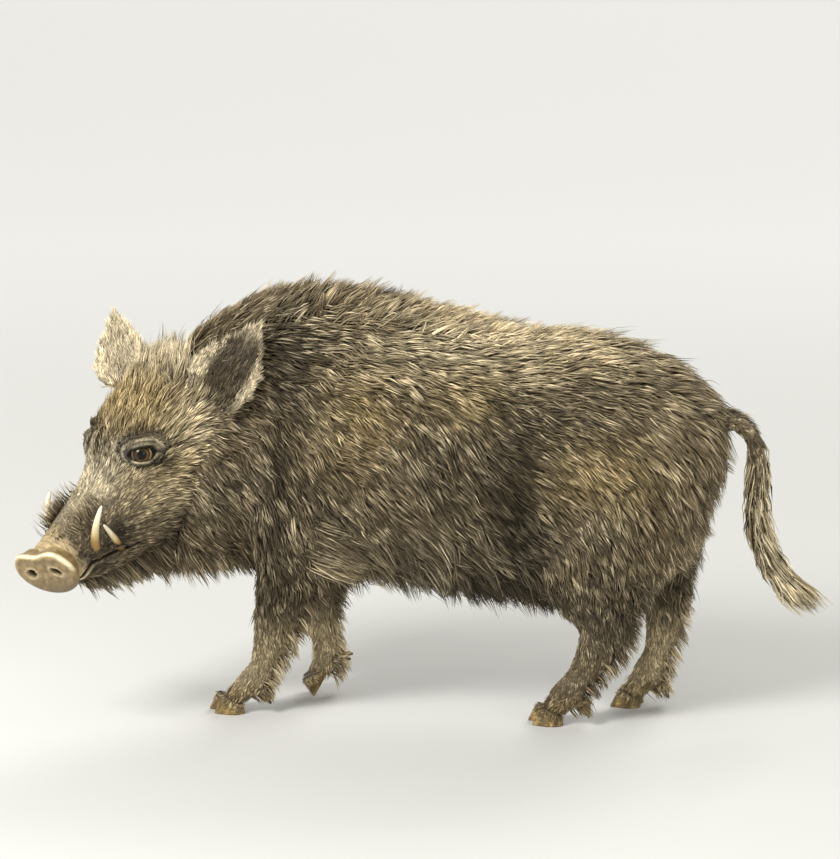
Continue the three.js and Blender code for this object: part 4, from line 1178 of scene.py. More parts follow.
def lidRing(side):
    # both lids as one soft ring: from under the eyeball's edge, over a fold, into the skin
    count = lidForm["around"]
    turns = np.arange(count) / count * 2 * math.pi
    ahead, across = np.cos(turns), np.sin(turns)
    upper = softStep(-0.35, 0.35, across)
    rear = softStep(0.4, -0.9, ahead)
    tall = np.where(across > 0, lidForm["rise"], lidForm["drop"])
    edge = np.column_stack([lidForm["half"] * signedPower(ahead, 0.9), tall * signedPower(across, 1.3)])
    edgeFar = (edge ** 2).sum(1)
    edgeHigh = np.sqrt(np.maximum((face["eyeSize"] + 0.8) ** 2 - edgeFar, 0) + 12)
    reach = mix(lidForm["reachDown"], lidForm["reachUp"], upper * np.abs(across))
    reach = reach + lidForm["reachRear"] * rear * upper
    out = unit(np.column_stack([ahead * 0.7, across])) * reach[:, None]
    local = movedBack(head, eyeFrame(side))
    near = np.flatnonzero((np.linalg.norm(local[:, :2], axis=1) < 80) & (local[:, 2] > -28))
    around = np.column_stack([np.arange(count), np.roll(np.arange(count), 1)])

    def skinUnder(places):
        return near[np.argmin(((local[near][:, None, :2] - places) ** 2).sum(2), axis=0)]

    closest = skinUnder(edge + out)
    skinHigh = smoothed(local[closest, 2:], around, 10)[:, 0]
    hidden = np.sqrt(np.maximum(face["eyeSize"] ** 2 - (0.7 ** 2) * edgeFar, 1)) - 2
    rings = [np.column_stack([edge * 0.7, hidden]), np.column_stack([edge * 0.97, edgeHigh - 2.5])]
    tones = [np.tile(coatTones["black"], (count, 1))] * 2
    for part in lidForm["rings"]:
        swell = lidForm["thick"] * clamp01(part / 0.1) ** 0.5 * (1 - softStep(0.4, 1, part))
        crease = hill(part, 0.56, 0.06) + 0.5 * hill(part, 0.3, 0.035)
        least = smoothed(local[skinUnder(edge + out * part), 2:], around, 4)[:, 0]
        least += 3.6 * softStep(0, 0.2, part)
        high = np.maximum(mix(edgeHigh, skinHigh, softStep(0.05, 1, part)), least) + swell
        high = high - lidForm["crease"] * crease * mix(0.4, 1, upper) + 2 * upper * hill(part, 0.76, 0.12)
        high -= 7 * softStep(0.75, 1, part)
        made = np.column_stack([edge + out * part, high])
        made[:, 2] += 0.5 * waves(made, 10, 71) * (part > 0.05)
        rings.append(made)
        tones.append(lidColours(made, coatTone[closest], turns, part, crease))
    for made, level in ((edge + out, skinHigh - 8), (edge, edgeHigh - 8)):
        rings.append(np.column_stack([made, level]))
        tones.append(tones[-1])
    faces = []
    for ring in range(len(rings)):
        low, high = ring * count, (ring + 1) % len(rings) * count
        for turn in range(count):
            after = (turn + 1) % count
            faces.append((low + turn, low + after, high + after, high + turn))
    points = moved(moved(np.vstack(rings), eyeFrame(side)), headFrame)
    piece = newPiece("eyelids_" + ("left" if side > 0 else "right"), points, faces, materials["skin"])
    setColours(piece.data, np.vstack(tones))

    # what the hair on the lids needs to know. The last two rings are under the skin.
    place = np.repeat([0, 0, *lidForm["rings"], 0, 0], count)
    onUpper = np.tile(softStep(0.2, 0.7, across) * softStep(-0.9, -0.5, ahead), len(rings))
    onUpper[-2 * count:] = 0
    outer = softStep(0.4, 0.7, place[:, None])
    alongRim = np.where(across >= 0, 1, -1)[:, None] * np.column_stack([-across, ahead])
    away = np.tile(unit(alongRim + 0.5 * unit(out)), (len(rings), 1))
    away = mix(away, unit(np.tile(out, (len(rings), 1))), outer)
    away = np.column_stack([away, np.zeros(len(points))]) @ (headFrame[:3, :3] @ eyeFrame(side)[:3, :3]).T
    under = np.tile(closest, len(rings))
    lids.append(dict(mesh=piece.data, points=points, part=place, upper=onUpper,
                     lie=unit(away) + 0.7 * outer * lie[under],
                     tones=mix(np.vstack(tones) * 1.15, coatTone[under], softStep(0.7, 1, place[:, None]))))


tuskForms = {
    "lower": dict(root=(394, 44, -86), bend=(381, 84, -12), tip=(321, 86, 4), radius=10),
    "upper": dict(root=(352, 44, -116), bend=(350, 72, -78), tip=(344, 72, -32), radius=8.5),
}


def tuskPlace(tusk, side):
    root, bend, tip = (np.array(tusk[key]) * (1, side, 1) for key in ("root", "bend", "tip"))

    def pointAt(along):
        along = np.asarray(along)[:, None]
        return mix(mix(root, bend, along), mix(bend, tip, along), along)

    def radiusAt(share):
        return (tusk["radius"] - 1.2) * np.sqrt(1 - share) + 1.2 * clamp01((1 - share) * 12 + 0.2)
    return inHead(alongCurve(pointAt, radiusAt))


snout = dict(across=72, above=49, below=55, turn=16, tilt=-12, at=(454, 16, -19), rows=tableRows(
    "x size",
    ("back", -8, 0.84),
    ("neck", 6, 0.94),
    ("rim", 14, 1.04),
    ("edge", 22, 1),
    ("face", 25, 0.84),
    ("dish", 23, 0.5),
    ("inner", 23, 0.25),
    ("middle", 24, 0.02),
))
nostril = dict(across=33, up=2, half=11, height=8.5, lean=0.5, depth=19)
snoutFrame = headFrame @ turnMatrix(0, snout["tilt"], snout["turn"], snout["at"])


def nostrilFar(local):
    # 1 at the edge of the nearer nostril, 0 in its middle
    across = np.abs(local[:, 1]) - nostril["across"]
    up = local[:, 2] - nostril["up"]
    lean = nostril["lean"]
    a = across * math.cos(lean) - up * math.sin(lean)
    b = across * math.sin(lean) + up * math.cos(lean)
    return np.hypot(a / nostril["half"], b / nostril["height"])


def snoutPlace(angle, along, out):
    size = snoutAt(along)
    rise = np.sin(angle)
    notch = np.where(rise > 0, 1 + 0.1 * np.cos(2 * angle), 1)
    fromTop = np.abs(np.degrees((angle + math.pi) % (2 * math.pi) - math.pi) - 90)
    notch += 0.13 * hill(fromTop, 42, 18) - 0.12 * hill(fromTop, 0, 17)
    high = np.where(rise > 0, snout["above"], snout["below"]) * notch
    local = np.column_stack([size["x"], snout["across"] * size["size"] * np.cos(angle) * out,
                             high * size["size"] * rise * out])
    far = nostrilFar(local)
    front = softStep(0.5, 0.62, along)
    local[:, 0] -= nostril["depth"] * front * (1 - softStep(0.45, 1.12, far))
    local[:, 0] += 2.2 * front * hill(far, 1.45, 0.3)
    local[:, 0] += front * 0.7 * waves(local, 16, 41) * softStep(0.9, 1.4, far)
    local[:, 0] += 1.5 * front * hill(local[:, 1], 0, 9) * softStep(-20, 8, local[:, 2])
    return moved(local, snoutFrame)


def snoutTone(points, along):
    # tan leather; cream on the top of the rim and round the nostrils, partly painted highlight; painted shade
    # in the nostrils and over the lower half
    local = movedBack(points, snoutFrame)
    rise = local[:, 2] / 50
    far = nostrilFar(local)
    colours = mix(coatTones["leather"], coatTones["tan"], clamp01(0.6 + 0.5 * waves(local, 22, 43))[:, None])
    colours *= 0.7
    colours = paint(colours, "cream", 0.95 * hill(along, 0.38, 0.08) * softStep(-0.3, 0.3, rise))
    # painted shade over the lower half of the disc
    colours = mix(colours, coatTones["leather"] * 0.5, (0.85 * softStep(0, -0.9, rise))[:, None])
    colours = paint(colours, "cream", 0.3 * hill(far, 1.5, 0.35) * (along > 0.55))
    return paint(colours, "black", (1 - softStep(0.75, 1.2, far)) * (along > 0.5))


snoutAt = smoothRows(snout["rows"])
for side in (-1, 1):
    name = "left" if side > 0 else "right"
    tubePiece("eyeball_" + name, 48, 72, eyeballPlace(side), materials["eye"], "eye_" + name, eyeShade)
    lidRing(side)
    for kind, tusk in tuskForms.items():
        node = "tusk_" + kind + "_" + name
        tubePiece(node + "_ivory", 28, 48, tuskPlace(tusk, side), materials["tusk ivory"], node)
tubePiece("snout_pad", 120, 84, snoutPlace, materials["snout pad"], "snout_disc", snoutTone)
print("face in place")


# The feet: two hooves and two dewclaws each. Front: the share of a hoof that is ahead of its middle;
# gap: half the space between two hooves; base and tip: the ends of a dewclaw; lean: in degrees.
hoofForm = dict(length=62, width=31, height=37, front=0.62, gap=0.8, grooves=34, hair=(0.56, 0.78))
clawForm = dict(radius=10, base=12, tip=-25, lean=math.degrees(0.5), grooves=30, hair=(0.75, 0.4))
hornTones = dict(low=tone("6e5c3a"), high=tone("b0935a"), stain=tone("574525"))
clawTones = dict(low=tone("3a2f1e"), high=tone("5f5032"))
horns = {}


def footFrame(foot):
    return turnMatrix(0, foot["tip"], 180 + foot["turn"], (foot["x"], foot["y"], foot["lift"]))


def hoofPlace(made):
    def place(angle, along, out):
        ahead = np.cos(angle)
        front, back = hoofForm["length"] * hoofForm["front"], hoofForm["length"] * (1 - hoofForm["front"])
        reach = np.where(ahead > 0, mix(front, front * 0.5, along), mix(back, back * 0.8, along))
        point = 1 - 0.55 * np.maximum(0, ahead) ** 1.5 * (1 - 0.3 * along)
        half = hoofForm["width"] / 2 * (1 - 0.12 * along)
        height = hoofForm["height"] * (1 - 0.22 * (1 - ahead * out))
        worn = 1 - 0.05 * np.exp(-along / 0.04) - 0.12 * softStep(0.9, 1, along)
        ringed = 1 + 0.008 * np.sin(along * hoofForm["grooves"] + 2 * ahead)
        local = np.column_stack([reach * ahead * out * worn * ringed,
                                 half * point * np.sin(angle) * out * worn * ringed, along * height])
        points = moved(local, made)
        points[:, 2] = np.maximum(points[:, 2], 0)
        return points
    return place


def clawPlace(made):
    def place(angle, along, out):
        grooved = 1 + 0.02 * np.sin(along * clawForm["grooves"])
        radius = clawForm["radius"] * (1 - 0.8 * along ** 1.6) * grooved
        return moved(np.column_stack([radius * 0.9 * np.cos(angle) * out, radius * np.sin(angle) * out,
                                      mix(clawForm["base"], clawForm["tip"], along)]), made)
    return place


def hornTone(points, along):
    streaks = clamp01(0.5 + 0.5 * waves(points * (1, 1, 0.25), 14, 51))
    colours = mix(hornTones["low"], hornTones["high"], streaks[:, None])
    colours = mix(colours, hornTones["stain"], clamp01(0.1 + 0.7 * waves(points, 7, 57))[:, None])
    return paint(colours, "dark", 0.85 * softStep(0.45, 0.9, along))


def clawTone(points, along):
    return mix(clawTones["low"], clawTones["high"], clamp01(0.4 + 0.5 * waves(points, 12, 53))[:, None])


def hornPiece(node, sides, steps, place, toneAt, lie, hairAt):
    # a hoof or dewclaw. Returns what the hair that grows over it needs to know.
    mesh, along = tubePiece(node + "_horn", sides, steps, place, materials["hoof horn"], node, toneAt)
    made = pointsOf(mesh) - boarPlace
    chart, spot = unwrapPlace(made)
    return dict(points=made, normals=normalsOf(mesh), triangles=trianglesOf(mesh),
                lie=np.tile(lie, (len(made), 1)), weight=softStep(*hairAt, along),
                chart=chart, unwrapped=spot)


for name, foot in feet.items():
    turned = footFrame(foot)
    horns[name] = []
    for side in (-1, 1):
        toe = "outer" if side * foot["y"] > 0 else "inner"
        made = turned.copy()
        ahead = foot["ahead"] if toe == "inner" else 0
        across = -side * (hoofForm["width"] / 2 + hoofForm["gap"])
        made[:3, 3] = moved(np.array([[ahead, across, 0]]), turned)[0]
        horns[name].append(hornPiece("hoof_" + name + "_" + toe, 40, 24, hoofPlace(made), hornTone,
                                     turned[:3, :3] @ (0.35, 0, -1), hoofForm["hair"]))
        made = turned @ turnMatrix(0, clawForm["lean"], 0, (0, 0, 0))
        made[:3, 3] = (foot["x"] + foot["dewX"], foot["y"] + side * heelForm["claw"][1], foot["dewZ"])
        horns[name].append(hornPiece("dewclaw_" + name + "_" + toe, 24, 18, clawPlace(made), clawTone,
                                     made[:3, :3] @ (0, 0, -1.0), clawForm["hair"]))
print("feet in place")


# The coat: tapered tufts, three sides each, that rise from the skin and lie back over one another.

coat = dict(
    clump=0.55,  # how far the tips gather into locks
    stray=9,  # degrees
    thick=0.3,  # of the width
    perPiece=11500,
)


def islandPlace(chart, place):
    # a place on the unwrap: each form of the body has its own strip
    tall = {"trunk": 0.46, "head": 0.24}
    starts = {}
    level = 0.0
    for name in charts:
        height = tall.get(name, 0.3 / (len(charts) - 2))
        starts[name] = (level, height)
        level += height
    low, height = np.array([starts[name] for name in charts]).T
    up = low[chart] + (0.01 + 0.98 * place[:, 1]) * height[chart]
    return np.column_stack([0.004 + 0.988 * place[:, 0], up])


def joinedSurface(surfaces):
    starts = np.cumsum([0] + [len(surface["points"]) for surface in surfaces])
    whole = {name: np.concatenate([surface[name] for surface in surfaces]) for name in surfaces[0]}
    triangles = np.vstack([surface["triangles"] + start for surface, start in zip(surfaces, starts)])
    return dict(whole, triangles=triangles)


def scatter(surface, count, weight):
    # roots spread evenly over the surface, more where the weight is high
    triangles = surface["triangles"]
    area = triangleAreas(surface["points"], triangles) * weight[triangles].mean(axis=1)
    total = np.cumsum(area)
    picked = np.searchsorted(total, (np.arange(count) + rng.random(count)) / count * total[-1])
    corners = triangles[np.minimum(picked, len(triangles) - 1)]
    a = rng.random(count)
    b = rng.random(count)
    over = a + b > 1
    a[over], b[over] = 1 - a[over], 1 - b[over]
    return corners, np.column_stack([1 - a - b, a, b])


def blended(values, corners, shares):
    return (values[corners] * shares[:, :, None]).sum(axis=1)


def makeTufts(name, root, normal, path, width, colours, unwrap, rings):
    # path: for each tuft the points that it runs through, the last one its tip
    count = len(root)
    ahead = unit(path[:, -1] - path[:, 0])
    across = unit(np.cross(normal, ahead))
    up = np.cross(ahead, across)
    shape = np.interp(np.arange(rings) / rings, (0, 0.35, 1), (0.75, 1, 0.2))
    made = np.empty((count, rings * 3 + 1, 3))
    painted = np.empty_like(made)
    for ring in range(rings):
        half = (width * shape[ring] / 2)[:, None]
        middle = path[:, ring]
        made[:, ring * 3] = middle - across * half
        made[:, ring * 3 + 1] = middle + across * half
        made[:, ring * 3 + 2] = middle + up * half * 2 * coat["thick"]
        painted[:, ring * 3:ring * 3 + 3] = colours[:, ring][:, None]
    made[:, -1] = path[:, -1]
    painted[:, -1] = colours[:, -1]
    one = [(0, 2, 1)]
    for ring in range(rings - 1):
        low = ring * 3
        for side in range(3):
            after = (side + 1) % 3
            one += [(low + side, low + after, low + 3 + after), (low + side, low + 3 + after, low + 3 + side)]
    last = (rings - 1) * 3
    one += [(last + side, last + (side + 1) % 3, last + 3) for side in range(3)]
    one = np.array(one)
    spot = np.array([(side / 2, ring / rings) for ring in range(rings) for side in range(3)] + [(0.5, 1)])
    spot = spot * 0.003  # each tuft's own share of the unwrap is this small

    pieces = max(1, math.ceil(count * len(one) / (coat["perPiece"] * 16)))
    for number, part in enumerate(np.array_split(np.argsort(root[:, 0]), pieces)):
        mesh = bpy.data.meshes.new(name)
        corners = (np.arange(len(part))[:, None, None] * made.shape[1] + one).ravel()
        mesh.vertices.add(len(part) * made.shape[1])
        mesh.vertices.foreach_set("co", inFrame(made[part].reshape(-1, 3)).ravel())
        mesh.loops.add(len(corners))
        mesh.loops.foreach_set("vertex_index", corners)
        mesh.polygons.add(len(corners) // 3)
        mesh.polygons.foreach_set("loop_start", np.arange(0, len(corners), 3))
        mesh.polygons.foreach_set("use_smooth", np.ones(len(corners) // 3, bool))
        mesh.update(calc_edges=True)
        setColours(mesh, painted[part].reshape(-1, 3))
        spots = (unwrap[part][:, None] + spot).reshape(-1, 2)
        mesh.uv_layers.new(name="OFBake").data.foreach_set("uv", spots[corners].ravel())
        mesh.materials.append(materials["bristles"])
        piece = newObject("coat_%s_%d" % (name, number + 1), mesh)
        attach(piece, "root")
    tuftCount[name] = (count, count * len(one))


def shades(base, rings, leaders, spread=1.0):
    # dark, middle and pale locks, each dark at its root and paler to its tip
    count = len(base)
    lot = 0.7 * rng.normal(size=count)[leaders] + 0.7 * rng.normal(size=count)
    light = np.exp(0.46 * spread * lot)
    pale = clamp01((lot - 0.3) * 0.75) * spread * clamp01(base.mean(axis=1) / 0.13)
    colours = []
    for ring in range(rings + 1):
        along = ring / rings
        depth = mix(0.26, 1.25, along ** 0.8)
        made = base * (light * depth)[:, None]
        colours.append(mix(made, coatTones["cream"], (pale * along ** 1.5 * 0.85)[:, None]))
    return np.stack(colours, axis=1)


def leadersOf(root, every):
    # the nearest lock's leader for each tuft
    chosen = rng.choice(len(root), max(1, len(root) // every), replace=False)
    tree = KDTree(len(chosen))
    for i in chosen:
        tree.insert(root[i], int(i))
    tree.balance()
    return np.array([tree.find(p)[1] for p in root])


def plant(surface, count, weight):
    # roots on the surface, with what its points say about the hair there
    corners, shares = scatter(surface, count, weight)
    main = corners[np.arange(count), shares.argmax(axis=1)]
    kinds = ("points", "normals", "lie", "sizes", "tones")
    made = {kind: blended(surface[kind], corners, shares) for kind in kinds}
    normal = unit(made["normals"])
    return dict(
        root=made["points"],
        normal=normal,
        lie=unit(made["lie"] - normal * (made["lie"] * normal).sum(1)[:, None]),
        base=made["tones"],
        unwrap=islandPlace(surface["chart"][main], surface["unwrapped"][main]),
        length=made["sizes"][:, 0], width=made["sizes"][:, 1], lift=made["sizes"][:, 2],
    )


def finishTufts(name, made, path, width, spread=1.0, every=6, clump=coat["clump"]):
    # gathers the tips into locks, keeps them off the floor and colours them
    rings = path.shape[1] - 1
    leaders = leadersOf(made["root"], every)
    steps = np.arange(rings + 1) / rings
    path = path + (path[leaders] - path) * (clump * steps ** 1.4)[None, :, None]
    path[..., 2] = np.maximum(path[..., 2], 1.5)
    width = width * np.exp(0.2 * rng.normal(size=len(width)))
    makeTufts(name, made["root"], made["normal"], path, width, shades(made["base"], rings, leaders, spread),
              made["unwrap"], rings)


def lyingTufts(name, surface, weight, cover, rings=2, spread=1.0, every=6, least=8, clump=coat["clump"]):
    # tufts that lie back along the surface and cover it that many times over
    size = np.maximum(0.5 * surface["sizes"][:, 0] * surface["sizes"][:, 1], least)
    density = weight * cover / size
    triangles = surface["triangles"]
    count = int((triangleAreas(surface["points"], triangles) * density[triangles].mean(axis=1)).sum())
    made = plant(surface, count, density)
    sway = np.radians(10 * waves(made["root"], 75, 61) + coat["stray"] * rng.normal(size=count))
    side = np.cross(made["normal"], made["lie"])
    way = unit(made["lie"] * np.cos(sway)[:, None] + side * np.sin(sway)[:, None])
    length = made["length"] * np.exp(0.2 * rng.normal(size=count))
    height = length * np.tan(np.radians(made["lift"])) * np.exp(0.25 * rng.normal(size=count))
    steps = (np.arange(rings + 1) / rings)[None, :, None]
    path = (made["root"][:, None] - made["normal"][:, None] * 1.5
            + way[:, None] * length[:, None, None] * steps
            + made["normal"][:, None] * height[:, None, None] * steps * (1.75 - 0.75 * steps))
    finishTufts(name, made, path, made["width"], spread, every, clump)


def standingTufts(name, surface, weight, start, finish, length, count, width, rings=3, stray=0.16, **locks):
    # tufts that leave the surface one way and bend to another. Ways and length may depend on the place.
    made = plant(surface, count, weight)
    start, finish, length = (part(made) if callable(part) else part for part in (start, finish, length))
    start = unit(start + stray * rng.normal(size=(count, 3)))
    finish = unit(finish + stray * rng.normal(size=(count, 3)))
    length = length * np.exp(0.16 * np.clip(rng.normal(size=count), -2, 1.5))
    steps = (np.arange(rings + 1) / rings)[None, :, None]
    bend = start[:, None] * (steps - steps ** 2 / 2) + finish[:, None] * steps ** 2 / 2
    path = made["root"][:, None] - made["normal"][:, None] * 2 + bend * length[:, None, None]
    finishTufts(name, made, path, np.full(count, float(width)), **locks)


def headWay(x, y, z):
    return np.array([x, y, z], float) @ headFrame[:3, :3].T


tuftCount = {}
coatOn = dict(points=points, normals=normals, triangles=trianglesOf(skinMesh), lie=lie, sizes=fields[:, 3:],
              tones=coatTone, chart=chartOf, unwrapped=unwrapped)
x, _, z = points.T

# Where the lying coat grows: not on bare skin, under the lids or in the cups of the ears. Cover is how
# many times over the tufts cover the skin, and spread is how much they differ in tone.
lyingCoat = dict(body=dict(cover=2.5), head=dict(cover=2.43, spread=0.88, clump=0.4),
                 legs=dict(cover=1.85, spread=0.7))
underLids = dict(half=40, above=46, below=28, deep=-26)
eyeLocal = inEyeAxes(head)
lidHigh = np.where(eyeLocal[:, 1] > 0, underLids["above"], underLids["below"])
byLids = (eyeLocal[:, 0] / underLids["half"]) ** 2 + (eyeLocal[:, 1] / lidHigh) ** 2 < 1
hairy = (1 - bare) * ~(byLids & (eyeLocal[:, 2] > underLids["deep"]))
earShare = share["ear_left"] + share["ear_right"]
earOutline = dict(up=(0, 0.3, 0.6, 0.9, 1.1), half=(0.8, 1, 0.9, 0.45, 0.2))
earSpots = {}
for name, ear in ears.items():
    made, length = earFrame(ear)
    local = movedBack(points, made)
    edge = np.abs(local[:, 0]) / (ear["width"] / 2 * np.interp(local[:, 2] / length, *earOutline.values()))
    mine = share["ear_" + name] > 0.4
    cup = mine * softStep(0, 0.4, normals @ made[:3, 1])
    earSpots[name] = dict(rim=mine * softStep(0.55, 0.85, edge) * (local[:, 2] > 8),
                          cup=cup * softStep(0.78, 0.5, edge) * (local[:, 2] > 4))
    hairy = hairy * (1 - earSpots[name]["cup"])

onBody = hairy * (share["trunk"] + share["tail"] + legShare * softStep(230, 330, z))
lyingTufts("body", coatOn, onBody, **lyingCoat["body"])
lyingTufts("head", coatOn, hairy * (share["head"] + earShare), **lyingCoat["head"])
lyingTufts("legs", coatOn, hairy * legShare * softStep(330, 230, z), **lyingCoat["legs"])
print("lying coat in place")

# short hair on the lids' outer folds, and lashes on the upper one
lidHair = dict(length=(5, 11), width=(1.2, 1.8), lift=11.0, cover=2.5, spread=0.8)
lashes = dict(length=9, count=70, width=0.8, rings=2, clump=0.2)
for number, lid in enumerate(lids):
    part = lid["part"]
    chart, place = unwrapPlace(lid["points"])
    outer = softStep(0.1, 0.6, part)
    lift = np.full(len(part), lidHair["lift"])
    sizes = np.column_stack([mix(*lidHair["length"], outer), mix(*lidHair["width"], outer), lift])
    lidOn = dict(points=lid["points"], normals=normalsOf(lid["mesh"]), triangles=trianglesOf(lid["mesh"]),
                 lie=lid["lie"], tones=lid["tones"], sizes=sizes, chart=chart, unwrapped=place)
    hair = mix(softStep(0.08, 0.2, part), softStep(0.46, 0.58, part), lid["upper"])
    hair = hair + 0.5 * softStep(0.1, 0.2, part) * softStep(0.54, 0.46, part) * lid["upper"]
    lyingTufts("lid_%d" % (number + 1), lidOn, hair, lidHair["cover"], spread=lidHair["spread"])
    lash = dict(lidOn, tones=np.tile(coatTones["black"], (len(part), 1)))
    ways = headFrame[:3, :3] @ eyeFrame(1 if number else -1)[:3, :3]
    standingTufts("lashes_%d" % (number + 1), lash, hill(part, 0.03, 0.02) * lid["upper"],
                  ways @ (-0.3, 0.1, 1), ways @ (-0.5, 0.5, 0.5), **lashes)

# the mane stands along the neck and withers and leans back, less at the end
mane = dict(length=62, reach=80, start=62, end=34)
maneTufts = dict(count=5000, width=3.5, stray=0.2, every=11, clump=0.8)


def offSpine(points):
    return points[:, 1] - np.interp(points[:, 0], trunkLine["x"], trunkLine["y"])


def maneLength(made):
    tall = mix(0.42, 1, np.sin(math.pi * mix(0.72, 0.06, clamp01((made["root"][:, 0] + 430) / 800))))
    off = np.abs(offSpine(made["root"])) / mane["reach"]
    return mane["length"] * tall * mix(1, 0.7, clamp01(off)) + 8


def maneWay(lean):
    def way(made):
        back = np.radians(lean - 30 * clamp01((made["root"][:, 0] + 250) / 500))
        return np.column_stack([np.cos(back), offSpine(made["root"]) / 300, np.sin(back)])
    return way


ridge = softStep(mane["reach"], 12, np.abs(offSpine(points))) * softStep(0.35, 0.75, normals[:, 2])
ridge = ridge * share["trunk"] * softStep(-470, -430, x) * softStep(360, 100, x)
standingTufts("mane", coatOn, ridge, maneWay(mane["start"]), maneWay(mane["end"]), maneLength, **maneTufts)

# the forelock stands between the ears, shorter towards the brow
forelock = dict(longest=60, shortest=27, uneven=5)
forelockTufts = dict(count=1800, width=2.8, stray=0.26, every=12, clump=0.75)


def lockLength(made):
    down = softStep(20, 130, moved(made["root"], headBack)[:, 0])
    uneven = forelock["uneven"] * rng.normal(size=len(made["root"]))
    return mix(forelock["longest"], forelock["shortest"], down) + uneven


lock = softStep(84, 40, np.abs(head[:, 1])) * softStep(-30, 0, head[:, 0]) * softStep(150, 50, head[:, 0])
lock = lock * (head[:, 2] > -30) * share["head"]
standingTufts("forelock", coatOn, lock, headWay(-0.75, 0, 0.6), headWay(-1, 0, 0.25), lockLength,
              **forelockTufts)

# the jaw and throat carry a long fringe that hangs to one level, which rises by that much to the chin
fringe = dict(level=266, rise=8, uneven=9, least=24, most=96)
beardTufts = dict(count=3600, width=3.2, every=11, spread=0.75, clump=0.7)
throatTufts = dict(count=1900, width=3.6, every=11, spread=0.75, clump=0.7)


def hangLength(made):
    level = fringe["level"] + fringe["rise"] * softStep(-360, -560, made["root"][:, 0])
    uneven = rng.normal(size=len(level)) * fringe["uneven"]
    return np.clip(made["root"][:, 2] - level + uneven, fringe["least"], fringe["most"])


def hangWay(back):
    return lambda made: unit(made["lie"] * 0.6 + np.array([back, 0, -1]))


jawLow = np.interp(head[:, 0], [row["x"] for row in headRows], [row["low"] for row in headRows])
below = softStep(0.84, 0.96, head[:, 2] / jawLow) * share["head"]
below = below * softStep(448, 425, head[:, 0]) * (head[:, 0] > -20)
standingTufts("beard", coatOn, clamp01(below), hangWay(0.3), hangWay(0.1), hangLength, **beardTufts)
chest = share["trunk"] * softStep(370, 325, z) * softStep(-260, -300, x) * softStep(0.2, -0.4, normals[:, 2])
standingTufts("throat", coatOn, chest, hangWay(0.4), hangWay(0.2), hangLength, **throatTufts)

# the belly's fringe hangs back, and the rump's long hair falls clear of the thighs
bellyTufts = dict(length=70, count=2600, width=3.6, stray=0.2, every=12, clump=0.75)
rumpTufts = dict(length=56, count=1600, width=3.4, stray=0.2, every=12, clump=0.75)
belly = share["trunk"] * softStep(-0.3, -0.8, normals[:, 2]) * softStep(-250, -200, x) * softStep(360, 300, x)
standingTufts("belly", coatOn, belly, (0.4, 0, -0.9), (0.6, 0, -0.8), **bellyTufts)
rump = share["trunk"] + share["leg_hind_left"] + share["leg_hind_right"]
rump = rump * softStep(0.1, 0.6, normals[:, 0]) * softStep(330, 420, x)
rump = rump * softStep(290, 340, z) * softStep(600, 540, z)
standingTufts("rump", coatOn, rump, (0.6, 0, -0.8), (0.3, 0, -1.0), **rumpTufts)

# long hair down the back of each leg, and pale hair at the elbows
legTufts = dict(count=3200, width=3.0, stray=0.22, every=9)
elbowTufts = dict(length=82, count=1100, width=3.2, stray=0.22, every=9)


def fringeLength(made):
    return np.minimum(42, 8 + made["root"][:, 2] * 0.75)


behind = np.zeros(len(points))
for name, rows in legRows.items():
    back = softStep(0.35, 0.9, behindLeg(points, rows))
    behind += share["leg_" + name] * back * softStep(22, 50, z) * softStep(440, 380, z)
standingTufts("leg_fringe", coatOn, behind, (0.8, 0, -0.6), (0.35, 0, -0.95), fringeLength, **legTufts)
elbow = share["leg_front_left"] + share["leg_front_right"]
elbow = elbow * softStep(-0.1, 0.6, normals[:, 0]) * softStep(300, 340, z) * softStep(450, 400, z)
elbowOn = dict(coatOn, tones=paint(coatTone, "pale", 0.5 * softStep(365, 315, z)))
standingTufts("elbow", elbowOn, elbow, (0.9, 0, -0.4), (0.95, 0, -0.3), **elbowTufts)

# hair that hangs from each foot over its hooves and dewclaws
footTufts = dict(count=650, width=2.2, rings=2)
footHair = dict(length=19, uneven=3, back=-0.8, backTipped=-0.35)
hornHair = dict(length=12.0, width=2.0, lift=8.0, cover=2.6, spread=0.8)


def footWay(out, down):
    return lambda made: unit(made["normal"] * out + down)


def footLength(made):
    return footHair["length"] + rng.normal(size=len(made["root"])) * footHair["uneven"]


for name, foot in feet.items():
    above = movedBack(points, footFrame(foot))[:, 2]
    low = share["leg_" + name] * softStep(66, 46, above)
    claws = np.array([foot["x"] + foot["dewX"] - 8, foot["y"], foot["dewZ"] + 14])
    near = np.linalg.norm((points - claws) / (1, 1.3, 1), axis=1)
    low = np.maximum(low, share["leg_" + name] * softStep(38, 18, near))
    down = np.array([footHair["backTipped" if foot["tip"] else "back"], 0, -1])
    standingTufts("foot_" + name, coatOn, low, footWay(0.45, down), footWay(0.1, down), footLength,
                  **footTufts)
    hornOn = joinedSurface(horns[name])
    count = len(hornOn["points"])
    hornOn["sizes"] = np.tile([hornHair[key] for key in ("length", "width", "lift")], (count, 1))
    hornOn["tones"] = np.tile(coatTone[low > 0.5].mean(axis=0), (count, 1))
    lyingTufts("horn_" + name, hornOn, hornOn["weight"], hornHair["cover"], spread=hornHair["spread"])

# the ears' pale rims and the hair in their cups
rimTufts = dict(length=16, count=1900, width=1.9, rings=2, stray=0.16, clump=0.2)
cupTufts = dict(length=24, count=1500, width=1.8, rings=2, stray=0.3, clump=0.4, spread=0.6)
rimOn = dict(coatOn, tones=mix(coatTone, coatTones["cream"], 0.8))
for name, ear in ears.items():
    made = earFrame(ear)[0]
    up, out = made[:3, 2], made[:3, 1]
    standingTufts("ear_rim_" + name, rimOn, earSpots[name]["rim"], up * 0.8 + out * 0.5, up, **rimTufts)
    standingTufts("ear_cup_" + name, coatOn, earSpots[name]["cup"], up + out * 0.28, up, **cupTufts)

